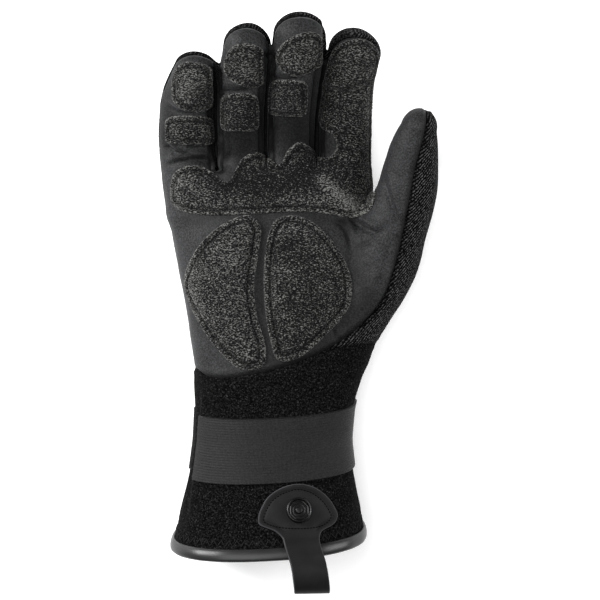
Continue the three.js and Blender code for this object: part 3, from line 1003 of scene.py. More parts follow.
def mesh_object(name: str, points: Array, faces: Sequence | Array, material: Material,
                crease: float = 50.0, marks: dict[str, Array] | None = None) -> Object:
    """Makes a Blender object, smooth except at sharp edges.

    Args:
        name: its name.
        points: vertices in millimetres.
        faces: vertex numbers of each face.
        material: its finish.
        crease: degrees past which an edge stays sharp.
        marks: named values that the finish reads, for the vertices of one layer or of all.

    Returns:
        The object, at the origin, in metres.
    """
    mesh = bpy.data.meshes.new(name)
    mesh.from_pydata((points * METRES).tolist(), [], np.asarray(faces).tolist())
    mesh.validate()
    mesh.shade_smooth()
    mesh.set_sharp_from_angle(angle=math.radians(crease))
    for key, values in (marks or {}).items():
        layer = mesh.attributes.new(key, "FLOAT", "POINT")
        layer.data.foreach_set("value", np.resize(values, len(points)).astype(np.float32))
    mesh.materials.append(material)
    made = bpy.data.objects.new(name, mesh)
    bpy.context.scene.collection.objects.link(made)
    return made


def swept(name: str, rings: Array, material: Material, closed: bool, crease: float = 50.0,
          marks: dict[str, Array] | None = None) -> Object:
    """Skins rings of points into one closed mesh whose UV map is in millimetres.

    Args:
        name: the object's name.
        rings: rings by points by 3; the first half of a ring is its upper side, the rest runs back below.
        material: its finish.
        closed: whether the last ring joins the first, or both ends are capped.
        crease: degrees past which an edge stays sharp.
        marks: named values of the points that the finish reads.

    Returns:
        The object.
    """
    count, size = rings.shape[:2]
    numbers = np.arange(count * size).reshape(count, size)
    nexts = np.roll(numbers, -1, axis=0) if closed else numbers[1:]
    starts = numbers if closed else numbers[:-1]
    faces = np.stack([starts, np.roll(starts, -1, 1), np.roll(nexts, -1, 1), nexts], axis=2).reshape(-1, 4)
    if not closed:
        near = np.arange(size // 2 - 1)
        far = size - 1 - near
        quads = columns(near, far, far - 1, near + 1)
        faces = np.concatenate([faces, quads, (quads + numbers[-1, 0])[:, ::-1]])
    made = mesh_object(name, rings.reshape(-1, 3), faces, material, crease, marks)
    along, across = distance_along(rings.mean(1)), distance_along(rings.mean(0))
    layer = made.data.uv_layers.new(name="Along")
    corner = np.empty(len(made.data.loops), int)
    made.data.loops.foreach_get("vertex_index", corner)
    pairs = columns(along[corner // size], across[corner % size])
    layer.data.foreach_set("uv", pairs.astype(np.float32).ravel())
    face_outwards(made)
    return made


def face_outwards(piece: Object) -> None:
    """Turns a mesh's faces round if its volume comes out below 0.

    Args:
        piece: an object with a closed mesh.
    """
    mesh = piece.data
    mesh.calc_loop_triangles()
    places = [v.co[:] for v in mesh.vertices]
    a, b, c = np.moveaxis(np.array([[places[i] for i in t.vertices] for t in mesh.loop_triangles]), 1, 0)
    if (a * np.cross(b, c)).sum() < 0:
        mesh.flip_normals()


def settle(piece: Object, slot: Slot, *nodes: str) -> None:
    """Puts a finished piece on its body in its CAD nodes' place, and hides those nodes.

    Args:
        piece: the finished object.
        slot: where its finish comes from; not used.
        nodes: the CAD nodes that it stands for.
    """
    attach(piece, BODY)
    if nodes:
        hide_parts(*nodes)
    LOG.info("%s: %d vertices, %d faces", piece.name, len(piece.data.vertices), len(piece.data.polygons))


class Skin:
    """The glove's outer surface: one mesh of the whole form, with its folds."""

    LOW = (-56.0, -131.0, -4.0)
    HIGH = (86.0, 135.0, 74.0)
    FOLD_DEPTH = 1.5
    UNEVEN = ((17.0, 0.35), (7.0, 0.16))  # size and height of the cloth's slight waves
    STEEP = 0.3  # least squared slope of the field that a step onto it is worked out with

    # Folds of the palm's cloth: their points in plan, with the swell on the left of the run, half width
    # and depth, below 0 for a raised fold
    FOLDS = (
        (((54.6, 54), (56.4, 47), (59.4, 38), (64.6, 27)), 1.3, 0.8),
        (((36.6, 36.6), (42, 32.4), (47.6, 28.6), (55, 25.4)), 1.4, 0.9),
        (((31, 33.4), (35.6, 31.2), (38.6, 25.6), (39.4, 17)), 1.3, 0.7),
        (((46, 17), (50.4, 24), (57, 30)), 1.8, 0.4),
        (((44.6, 31), (48, 20), (47, 8)), 3.6, -0.7),
        (((51, 2), (53.4, 14), (54.6, 24)), 2.6, -0.5),
        (((30.8, -18), (33.2, -24)), 1.1, 0.6),
        (((-49.5, 70.5), (-44.5, 65.4), (-36, 64.6)), 1.3, 1.1),
        (((-49.8, 59.6), (-42.5, 61.2), (-34.2, 62.2), (-26.5, 62.2)), 1.3, 1.0),
        (((-48, 65), (-40, 63)), 1.6, -0.5),
        (((27, 93), (31, 94.6), (37, 93), (43, 94.6), (50, 98.4)), 1.4, 1.0),
        (((-49.5, 89), (-42, 84.2), (-35, 83.6), (-26, 86)), 1.5, 1.0),
        (((-24, 94), (-13, 93), (-2, 96.4)), 1.6, 1.0),
        (((0, 100.6), (10, 98.2), (24, 103)), 1.6, 1.0),
        (((-48, 73.5), (-38, 67.6), (-27, 69)), 1.6, 0.6),
        (((22, 56), (30, 48), (40, 38), (47, 33)), 4.2, -0.9),
        (((-22, 56), (-18, 66), (-20, 76)), 1.8, 0.6),
        (((2, 62), (4, 72), (2, 80)), 1.8, 0.5),
        (((-33, -45), (-33.6, -62), (-36, -84), (-39, -112)), 1.0, 0.7),
    )

    def __init__(self, form: GloveForm) -> None:
        """Meshes the field and presses the folds into it.

        Args:
            form: the field.
        """
        self.form = form
        self.sheet = self._creased(self._meshed())
        LOG.info("skin: %d vertices, %d faces", len(self.sheet.points), len(self.sheet.faces))

    def _meshed(self) -> Sheet:
        """Puts a vertex in each grid cell that the surface crosses, and joins and smooths them.

        Returns:
            The mesh.
        """
        low = np.array(self.LOW)
        counts = np.ceil((np.array(self.HIGH) - low) / VOXEL).astype(int)
        axes = [low[k] + VOXEL * np.arange(counts[k]) for k in range(3)]
        values = np.empty(counts)
        for i, x in enumerate(axes[0]):
            y, z = np.meshgrid(axes[1], axes[2], indexing="ij")
            layer = columns(np.full(y.size, x), y.ravel(), z.ravel())
            values[i] = self.form.distance(layer).reshape(y.shape)
        inside = values < 0
        corners = np.array(list(np.ndindex(2, 2, 2)))
        blocks = [inside[tuple(slice(c, c - 1 or None) for c in corner)] for corner in corners]
        total = np.sum(blocks, axis=0)
        active = (total > 0) & (total < 8)
        cells = np.argwhere(active)
        at = cells[:, None, :] + corners[None]
        value = values[tuple(np.moveaxis(at, -1, 0))]
        place, hits = np.zeros((len(cells), 3)), np.zeros(len(cells))
        sides = [(a, b) for a, b in np.ndindex(8, 8) if a < b and np.abs(corners[a] - corners[b]).sum() == 1]
        for a, b in sides:
            crosses = (value[:, a] < 0) != (value[:, b] < 0)
            gap = np.where(crosses, value[:, a] - value[:, b], 1)
            share = np.where(crosses, value[:, a] / gap, 0)
            place += (corners[a] + share[:, None] * (corners[b] - corners[a])) * crosses[:, None]
            hits += crosses
        points = low + VOXEL * (cells + place / hits[:, None])
        number = np.full(active.shape, -1)
        number[active] = np.arange(len(cells))
        faces = []
        for axis in range(3):
            b, c = (axis + 1) % 3, (axis + 2) % 3
            edges = np.argwhere(np.diff(inside, axis=axis))
            beside = edges[:, [b, c]]
            edges = edges[((beside > 0) & (beside < np.array(active.shape)[[b, c]])).all(1)]
            ring = []
            for db, dc in ((1, 1), (0, 1), (0, 0), (1, 0)):
                cell = edges.copy()
                cell[:, b] -= db
                cell[:, c] -= dc
                ring.append(number[tuple(cell.T)])
            quads = columns(*ring)
            first_inside = inside[tuple(edges.T)]
            quads[~first_inside] = quads[~first_inside][:, ::-1]
            faces.append(quads[(quads >= 0).all(1)])
        quads = np.concatenate(faces)
        diagonal = [np.linalg.norm(points[quads[:, k]] - points[quads[:, k + 2]], axis=1) for k in (0, 1)]
        other = diagonal[1] < diagonal[0]
        quads[other] = np.roll(quads[other], -1, axis=1)
        sheet = Sheet(points, np.concatenate([quads[:, [0, 1, 2]], quads[:, [0, 2, 3]]]))
        for _ in range(2):
            sheet = self._on_form(sheet.relaxed(2))
        return sheet

    def _on_form(self, sheet: Sheet) -> Sheet:
        """Moves the vertices back onto the field's surface.

        Args:
            sheet: the mesh.

        Returns:
            The moved mesh.
        """
        points = sheet.points
        for _ in range(2):
            slope = gradient(self.form.distance, points)
            size = np.maximum((slope**2).sum(1), self.STEEP)
            step = slope * (self.form.distance(points) / size)[:, None]
            points = points - np.clip(step, -VOXEL, VOXEL)
        return Sheet(points, sheet.faces)

    def _creased(self, sheet: Sheet) -> Sheet:
        """Presses the folds and a slight unevenness into the upper side.

        Args:
            sheet: the smooth mesh.

        Returns:
            The folded mesh.
        """
        p, normal = sheet.points, sheet.normals()
        upward = smooth_step(normal[:, 2], -0.1, 0.35)
        waves = sum(height * noise_at(p, size) for size, height in self.UNEVEN)
        lift = smooth_step(p[:, 2], 3, 9) * waves
        for rows, width, depth in self.FOLDS:
            line = curve_through(rows, False, 6)
            near = np.flatnonzero(within(p, line, 5 * width) & (upward > 0))
            gap, share = distance_to_line(p[near], line)
            fade = smooth_step(share, 0, 0.25) * smooth_step(1 - share, 0, 0.25)
            fade = np.maximum(fade, 0.15)
            shape = -bell(gap, width) + 0.75 * bell(gap - 2.2 * width, 1.4 * width)
            lift[near] += self.FOLD_DEPTH * depth * shape * fade * upward[near]
        return Sheet(p + normal * lift[:, None], sheet.faces)


class Regions:
    """Where each sewn panel lies on the skin, as distances inside its seams."""

    def __init__(self) -> None:
        """Draws the palm panel's plan."""
        edge = curve_through(PALM_EDGE, False, 8)
        past_tips = [(FAR_LEFT, FAR_UP), (edge[0, 0], FAR_UP)]
        self.plan = Outline(np.concatenate([past_tips, edge, [(FAR_LEFT, edge[-1, 1])]]))

    @staticmethod
    def side(p: Array) -> Array:
        """Height above the side seam."""
        low, high = (np.interp(p[:, 1], SIDE_SEAM[:, 0], SIDE_SEAM[:, k]) for k in (1, 2))
        return p[:, 2] - low - (high - low) * smooth_step(p[:, 0], *SEAM_BLEND)

    @staticmethod
    def strip(p: Array, slit: tuple) -> Array:
        """Distance inside the strip in one slit."""
        aside = STRIP_HALF - np.abs(p[:, 0] - GloveForm.slit_x(slit, p[:, 1]))
        return np.minimum(aside, np.minimum(p[:, 1] - slit[2], slit[3] - p[:, 1]))

    def strips(self, p: Array) -> Array:
        """Distance inside the nearest strip between two fingers."""
        return np.max([self.strip(p, slit) for slit in SLITS], axis=0)

    def suede(self, p: Array) -> Array:
        """Distance inside the palm panel's outer edge."""
        return np.minimum(self.plan.depth(p), self.side(p))

    @staticmethod
    def above_wrist(p: Array) -> Array:
        """Distance past the wrist seam towards the fingers."""
        return p[:, 1] - WRIST_SEAM_Y - WRIST_SEAM_SLOPE * p[:, 0]

    @staticmethod
    def above_hem(p: Array) -> Array:
        """Distance past the cut edge of the cuff."""
        return p[:, 1] - HEM_Y - CUFF_LEAN[0] * p[:, 0] - CUFF_LEAN[1] * p[:, 2]

    def palm(self, p: Array) -> Array:
        """Distance inside the palm panel."""
        return np.minimum(self.suede(p), -self.strips(p))

    def back(self, p: Array) -> Array:
        """Distance inside the back panel."""
        return np.min([-self.suede(p), self.above_wrist(p), -self.strips(p)], axis=0)

    def gauntlet(self, p: Array) -> Array:
        """Distance inside the gauntlet."""
        return np.min([-self.suede(p), -self.above_wrist(p), self.above_hem(p)], axis=0)


def feed(tree: bpy.types.NodeTree, socket: Socket, value: object) -> None:
    """Sets a socket, or links it where the value is another socket.

    Args:
        tree: the node tree.
        socket: the socket.
        value: what it gets.
    """
    if isinstance(value, Socket):
        tree.links.new(value, socket)
    else:
        socket.default_value = value


def add_node(tree: bpy.types.NodeTree, kind: str, inputs: dict | None, settings: dict) -> bpy.types.Node:
    """Adds a node to a tree.

    Args:
        tree: the tree.
        kind: the node's type.
        inputs: sockets by name or number, as values or as sockets to link.
        settings: the node's own properties.

    Returns:
        The node.
    """
    node = tree.nodes.new(kind)
    for key, value in settings.items():
        setattr(node, key, value)
    for key, value in (inputs or {}).items():
        feed(tree, node.inputs[key], value)
    return node


class Graph:
    """A material's node tree, built a node at a time."""

    def __init__(self, name: str) -> None:
        """Starts a material with a Principled shader.

        Args:
            name: the material's name.
        """
        self.material = bpy.data.materials.new(name)
        self.material.use_nodes = True
        self.tree = self.material.node_tree
        self.tree.nodes.clear()
        self.shader = self.tree.nodes.new("ShaderNodeBsdfPrincipled")
        output = self.tree.nodes.new("ShaderNodeOutputMaterial")
        self.tree.links.new(self.shader.outputs[0], output.inputs[0])

    def add(self, kind: str, inputs: dict | None = None, **settings: object) -> bpy.types.Node:
        """Adds a node of a kind, named without the ShaderNode in front."""
        return add_node(self.tree, "ShaderNode" + kind, inputs, settings)

    def place(self, scale: Sequence = (1, 1, 1), turn: float = 0.0, source: str = "Object") -> Socket:
        """Coordinates on the piece, stretched, and turned by degrees about the upright axis."""
        where = {"Vector": self.add("TexCoord").outputs[source], "Rotation": (0, 0, math.radians(turn))}
        return self.add("Mapping", where | {"Scale": scale}).outputs[0]

    def noise(self, vector: Socket, size: float, detail: float, rough: float, bend: float = 0.0) -> Socket:
        """Noise whose features are about a size in millimetres."""
        return self.add("TexNoise", {"Vector": vector, "Scale": 1 / (size * METRES), "Detail": detail,
                                     "Roughness": rough, "Distortion": bend}).outputs["Fac"]

    def ramp(self, value: Socket, stops: Sequence) -> Socket:
        """Maps a value to colours.

        Args:
            value: the factor socket.
            stops: pairs of a position and a grey level or colour.

        Returns:
            The colour socket.
        """
        node = self.add("ValToRGB", {"Fac": value})
        band = node.color_ramp.elements
        while len(band) < len(stops):
            band.new(0.5)
        for stop, (position, colour) in zip(band, stops):
            stop.position = position
            level = colour if isinstance(colour, tuple) else (colour,) * 3
            stop.color = (*level, 1)
        return node.outputs[0]

    def mark(self, name: str) -> Socket:
        """Reads a value that the mesh keeps for each vertex."""
        return self.add("Attribute", attribute_name=name).outputs["Fac"]

    def shaded(self, colour: Socket, name: str, share: float) -> Socket:
        """A colour that loses a share of itself where a mark is high, as painted shade."""
        return self.mix(self.math("MULTIPLY", self.mark(name), share), colour, (0.001, 0.001, 0.001, 1))

    def math(self, kind: str, a: Socket | float, b: Socket | float = 0.0) -> Socket:
        """A sum, product or other operation on two values."""
        return self.add("Math", {0: a, 1: b}, operation=kind).outputs[0]

    def mix(self, factor: Socket | float, a: Socket, b: Socket | tuple) -> Socket:
        """Blends two colours."""
        return self.add("Mix", {0: factor, 6: a, 7: b}, data_type="RGBA").outputs[2]

    def bump(self, height: Socket, depth: float, strength: float, under: Socket | None = None) -> Socket:
        """A normal tilted by a height, where 1 stands for a depth in millimetres, over another normal."""
        inputs = {"Height": height, "Distance": depth * METRES, "Strength": strength}
        return self.add("Bump", inputs | ({"Normal": under} if under else {})).outputs[0]

    def finish(self, **inputs: object) -> Material:
        """Sets the shader's sockets.

        Args:
            inputs: values or sockets by the shader's names, with underscores for spaces.

        Returns:
            The finished material.
        """
        for key, value in inputs.items():
            feed(self.tree, self.shader.inputs[key.replace("_", " ")], value)
        return self.material


@dataclass(frozen=True)
class Suede:
    """Smooth synthetic suede of the palm."""

    dark: float = 0.007  # grey of the deep nap
    light: float = 0.017  # grey where the nap is brushed up
    nap: float = 0.75  # size of the grain
    painted_light_gain: float = 0.42  # share of its grey that a full stroke of painted light adds, or a stroke of painted shade takes away

    def material(self) -> Material:
        """Builds the material.

        Returns:
            The material.
        """
        g = Graph("palm_suede")
        # painted light and shade: the grey scaled up or down by the stroke table's mark
        painted_light_and_shade = g.math("ADD", g.math("MULTIPLY", g.mark("painted_light_and_shade"), self.painted_light_gain), 1.0)
        place = g.place()
        cloud = g.noise(place, 16, 3, 0.6)
        grain = g.noise(place, self.nap, 3, 0.7)
        light = (self.light, self.light * 1.01, self.light * 1.06)
        base = g.ramp(cloud, ((0.35, self.dark), (0.68, light)))
        nap = g.mix(0.55, base, g.ramp(grain, ((0.42, 0.0004), (0.62, (0.036, 0.0365, 0.039)))))
        toned = g.add("VectorMath", {0: nap, "Scale": painted_light_and_shade}, operation="SCALE").outputs["Vector"]
        # painted shade along the seams
        colour = g.shaded(toned, "sewn", 0.8)
        normal = g.bump(g.noise(place, 5.5, 3, 0.55), 0.5, 0.7, g.bump(grain, 0.1, 0.6))
        return g.finish(Base_Color=colour, Roughness=0.62, Normal=normal, Sheen_Weight=0.07,
                        Sheen_Roughness=0.35, Sheen_Tint=(0.66, 0.68, 0.74, 1), Specular_IOR_Level=0.14)


@dataclass(frozen=True)
class GripKnit:
    """Salt and pepper looped knit of the grip patches."""

    loop: float = 0.68  # size of one loop
    black: float = 0.0015  # grey of the ground
    white: float = 0.12  # grey of the bright fibres

    def material(self) -> Material:
        """Builds the material.

        Returns:
            The material.
        """
        g = Graph("grip_knit")
        place = g.place(scale=(0.75, 1.35, 1.0), turn=16)
        fibre = g.noise(place, self.loop, 2.0, 0.6, 0.45)
        cloud = g.noise(place, 9, 2, 0.5)
        shift = g.math("MULTIPLY", g.math("SUBTRACT", cloud, 0.52), 0.09)
        speck = g.math("ADD", fibre, shift)
        # wear and painted light: more light specks where worn or lit from the left, fewer under painted
        # shade
        speck = g.math("ADD", speck, g.math("MULTIPLY", g.mark("wear_and_painted_light"), 0.045))
        # painted highlight along each piece's rounded edge
        speck = g.math("ADD", speck, g.math("MULTIPLY", g.mark("rim"), 0.06))
        light = (self.white, self.white, self.white * 0.94)
        stops = ((0.46, self.black), (0.54, self.white * 0.16), (0.64, light))
        # painted shade in the stitched groove
        colour = g.shaded(g.ramp(speck, stops), "sewn", 0.7)
        cells = g.add("TexVoronoi", {"Vector": place, "Scale": 1 / (self.loop * METRES)})
        height = g.math("SUBTRACT", fibre, g.math("MULTIPLY", cells.outputs["Distance"], 0.5))
        normal = g.bump(height, 0.5, 0.7)
        return g.finish(Base_Color=colour, Roughness=0.92, Normal=normal, Sheen_Weight=0.04,
                        Sheen_Roughness=0.5, Specular_IOR_Level=0.08)


@dataclass(frozen=True)
class Plush:
    """Deep black plush face of the gauntlet's neoprene."""

    black: float = 0.0006  # grey of the pile
    tip: float = 0.04  # grey of the pile's catching tips
    tuft: float = 0.78  # size of one tuft

    def material(self) -> Material:
        """Builds the material.

        Returns:
            The material.
        """
        g = Graph("cuff_plush")
        place = g.place()
        tuft = g.noise(place, self.tuft, 3, 0.7, 0.4)
        colour = g.ramp(tuft, ((0.44, self.black), (0.6, self.tip * 0.2), (0.72, self.tip)))
        normal = g.bump(tuft, 0.5, 0.8)
        return g.finish(Base_Color=colour, Roughness=1.0, Normal=normal, Sheen_Weight=0.015,
                        Sheen_Roughness=0.4, Specular_IOR_Level=0.02)


@dataclass(frozen=True)
class RibKnit:
    """Finely ribbed knit over the neoprene of the back and the thumb."""

    across: tuple[float, float, float] = (-0.6, 0.6, 0.53)  # direction from rib to rib
    pitch: float = 1.2  # distance between two ribs
    dark: float = 0.0008  # grey between the ribs
    light: float = 0.09  # grey on the ribs

    def material(self) -> Material:
        """Builds the material.

        Returns:
            The material.
        """
        g = Graph("back_knit")
        place = g.place()
        per_rib = 2 * math.pi / (self.pitch * METRES)
        slant = tuple(per_rib * part for part in self.across)
        phase = g.add("VectorMath", {0: place, 1: slant}, operation="DOT_PRODUCT").outputs["Value"]
        wobble = g.math("MULTIPLY", g.noise(place, 7, 2, 0.5), 5.0)
        fade = g.ramp(g.mark("facing"), ((0.7, 0.45), (0.88, 0.0)))  # none where the cloth faces across
        wave = g.math("MULTIPLY", g.math("SINE", g.math("ADD", phase, wobble)), fade)
        rib = g.math("ADD", wave, 0.55)
        fuzz = g.noise(place, 0.75, 3, 0.7)
        both = g.math("MULTIPLY", rib, g.ramp(fuzz, ((0.44, 0.1), (0.6, 1.0))))
        colour = g.ramp(both, ((0.22, self.dark), (0.95, self.light)))
        normal = g.bump(rib, 0.32, 0.7, g.bump(fuzz, 0.16, 0.5))
        # painted shade along the seams
        return g.finish(Base_Color=g.shaded(colour, "sewn", 0.8), Roughness=0.95, Normal=normal,
                        Sheen_Weight=0.015, Sheen_Roughness=0.4, Specular_IOR_Level=0.02)


@dataclass(frozen=True)
class Elastic:
    """Woven elastic of the wrist strap."""

    grey: float = 0.006  # its mean grey
    pick: float = 0.62  # distance between the threads across it

    def material(self) -> Material:
        """Builds the material.

        Returns:
            The material.
        """
        g = Graph("strap_elastic")
        flat = g.place(source="UV")
        scale = 1 / self.pick * math.pi / 10
        across = g.add("TexWave", {"Vector": flat, "Scale": scale, "Distortion": 0.3},
                       wave_type="BANDS", bands_direction="X").outputs["Fac"]
        fuzz = g.noise(g.place(), 0.7, 3, 0.7)
        cloud = g.noise(g.place(), 14, 2, 0.5)
        weave = g.math("ADD", g.math("MULTIPLY", across, 0.25), g.math("MULTIPLY", fuzz, 0.9))
        colour = g.mix(0.3, g.ramp(weave, ((0.45, self.grey * 0.05), (0.72, self.grey * 3.0))),
                       g.ramp(cloud, ((0.3, self.grey * 0.75), (0.7, self.grey * 1.25))))
        normal = g.bump(weave, 0.25, 0.8)
        return g.finish(Base_Color=colour, Roughness=0.5, Normal=normal, Sheen_Weight=0.04,
                        Sheen_Roughness=0.3, Specular_IOR_Level=0.1)


@dataclass(frozen=True)
class Coated:
    """A smooth coated sheet, as on the binding and the pull tab."""

    name: str
    grey: float  # its colour
    rough: float  # its roughness
    pore: float  # size of its grain
    relief: float  # depth of its grain
    gleam: float  # strength of its reflections

    def material(self) -> Material:
        """Builds the material.

        Returns:
            The material.
        """
        g = Graph(self.name)
        place = g.place()
        cloud = g.noise(place, 11, 3, 0.55)
        pore = g.noise(place, self.pore, 3, 0.6)
        level = (self.grey, self.grey, self.grey * 1.04)
        low = tuple(0.75 * c for c in level)
        high = tuple(1.2 * c for c in level)
        colour = g.ramp(cloud, ((0.3, low), (0.7, high)))
        # painted shade in the stitched groove
        colour = g.shaded(colour, "sewn", 0.35)
        # painted highlight along the edge: lighter grey where the rim mark is high
        colour = g.mix(g.math("MULTIPLY", g.mark("rim"), 0.5), colour, (0.09, 0.09, 0.095, 1))
        rough = g.math("ADD", g.math("MULTIPLY", pore, 0.2), self.rough - 0.1)
        normal = g.bump(pore, self.relief, 0.6)
        return g.finish(Base_Color=colour, Roughness=rough, Normal=normal, Specular_IOR_Level=self.gleam)


@dataclass(frozen=True)
class Enamel:
    """Gloss black enamel of the snap."""

    grey: float = 0.0015  # its colour

    def material(self) -> Material:
        """Builds the material.

        Returns:
            The material.
        """
        g = Graph("snap_enamel")
        smear = g.noise(g.place(), 1.5, 2, 0.5)
        rough = g.math("ADD", g.math("MULTIPLY", smear, 0.16), 0.24)
        colour = g.ramp(smear, ((0.3, self.grey * 0.7), (0.7, self.grey * 1.4)))
        return g.finish(Base_Color=colour, Roughness=rough, Specular_IOR_Level=0.32)


@dataclass(frozen=True)
class Thread:
    """Sewing thread."""

    name: str
    grey: float  # its colour
    gleam: float  # strength of its reflections

    def material(self) -> Material:
        """Builds the material.

        Returns:
            The material.
        """
        g = Graph(self.name)
        twist = g.noise(g.place(), 0.25, 2, 0.6)
        colour = g.ramp(twist, ((0.3, self.grey * 0.5), (0.7, self.grey * 1.5)))
        return g.finish(Base_Color=colour, Roughness=0.6, Normal=g.bump(twist, 0.05, 0.5),
                        Specular_IOR_Level=self.gleam)


class Stitcher:
    """Sews stitches along lines with one Geometry Nodes tree."""

    INPUTS = (
        ("Geometry", "NodeSocketGeometry"),
        ("Pitch", "NodeSocketFloat"),
        ("Length", "NodeSocketFloat"),
        ("Radius", "NodeSocketFloat"),
        ("Slant", "NodeSocketFloat"),
        ("Thread", "NodeSocketMaterial"),
    )

    def __init__(self) -> None:
        """Builds the tree: a rounded stitch at even steps along each line, laid flat on its surface."""
        self.tree = bpy.data.node_groups.new("sewn_line", "GeometryNodeTree")
        sockets = self.tree.interface
        for name, kind in self.INPUTS:
            sockets.new_socket(name, in_out="INPUT", socket_type=kind)
        sockets.new_socket("Geometry", in_out="OUTPUT", socket_type="NodeSocketGeometry")
        source = self.tree.nodes.new("NodeGroupInput").outputs
        line = self._made("MeshToCurve", {0: source["Geometry"]})
        spaced = self._made("ResampleCurve", {"Curve": line, "Length": source["Pitch"]}, mode="LENGTH")
        points = add_node(self.tree, "GeometryNodeCurveToPoints", {0: spaced}, {"mode": "EVALUATED"}).outputs
        outward = self._made("InputNamedAttribute", {"Name": "outward"}, data_type="FLOAT_VECTOR")
        laid = self._made("FunctionNodeAlignRotationToVector",
                          {"Rotation": points["Rotation"], "Vector": outward}, axis="X", pivot_axis="Z")
        parity = self._math("MODULO", self._made("InputIndex"), 2.0)
        side = self._math("MULTIPLY_ADD", parity, 2.0, -1.0)
        angle = self._math("MULTIPLY", side, source["Slant"])
        turn = self._made("FunctionNodeAxisAngleToRotation", {"Axis": (1, 0, 0), "Angle": angle})
        slanted = self._made("FunctionNodeRotateRotation", {"Rotation": laid, "Rotate By": turn},
                             rotation_space="LOCAL")
        half = self._math("MULTIPLY", source["Length"], 0.5)
        size = self._made("ShaderNodeCombineXYZ", {0: source["Radius"], 1: source["Radius"], 2: half})
        ball = self._made("MeshUVSphere", {"Segments": 6, "Rings": 5, "Radius": 1.0})
        stitch = self._made("Transform", {0: ball, "Scale": size})
        laid_out = {"Points": points[0], "Instance": stitch, "Rotation": slanted}
        placed = self._made("InstanceOnPoints", laid_out)
        real = self._made("RealizeInstances", {0: placed})
        soft = self._made("SetShadeSmooth", {0: real})
        dyed = self._made("SetMaterial", {0: soft, "Material": source["Thread"]})
        feed(self.tree, self.tree.nodes.new("NodeGroupOutput").inputs[0], dyed)

    def _made(self, kind: str, inputs: dict | None = None, **settings: object) -> Socket:
        """Adds a node, a geometry node unless its kind says Node itself, and gives its first output."""
        full = kind if "Node" in kind else "GeometryNode" + kind
        return add_node(self.tree, full, inputs, settings).outputs[0]

    def _math(self, kind: str, *values: Socket | float) -> Socket:
        """Works out a value from others."""
        return self._made("ShaderNodeMath", dict(enumerate(values)), operation=kind)

    def sew(self, name: str, lines: Sequence[tuple[Array, Array]], thread: Material, pitch: float,
            length: float, radius: float, slant: float = 0.0) -> Object:
        """Sews stitches along closed lines.

        Args:
            name: the piece's name.
            lines: points in millimetres and their outward directions, for each line.
            thread: the finish.
            pitch: distance from stitch to stitch.
            length: length of one stitch.
            radius: half the thread's width.
            slant: degrees that each stitch turns aside, this way and that.

        Returns:
            The stitches as one plain mesh.
        """
        points, outward = (np.concatenate(parts) for parts in zip(*lines))
        edges, start = [], 0
        for line, _ in lines:
            last = start + len(line) - 1
            edges += [(i, i + 1) for i in range(start, last)] + [(last, start)]
            start = last + 1
        mesh = bpy.data.meshes.new(name)
        mesh.from_pydata((points * METRES).tolist(), edges, [])
        layer = mesh.attributes.new("outward", "FLOAT_VECTOR", "POINT")
        layer.data.foreach_set("vector", outward.astype(np.float32).ravel())
        made = bpy.data.objects.new(name, mesh)
        bpy.context.scene.collection.objects.link(made)
        modifier = made.modifiers.new("sewing", "NODES")
        modifier.node_group = self.tree
        values = {"Pitch": pitch * METRES, "Length": length * METRES, "Radius": radius * METRES,
                  "Slant": math.radians(slant), "Thread": thread}
        for item in self.tree.interface.items_tree:
            if item.name in values:
                modifier[item.identifier] = values[item.name]
        graph = bpy.context.evaluated_depsgraph_get()
        plain = bpy.data.meshes.new_from_object(made.evaluated_get(graph))
        made.modifiers.clear()
        made.data = plain
        plain.name = name
        return made


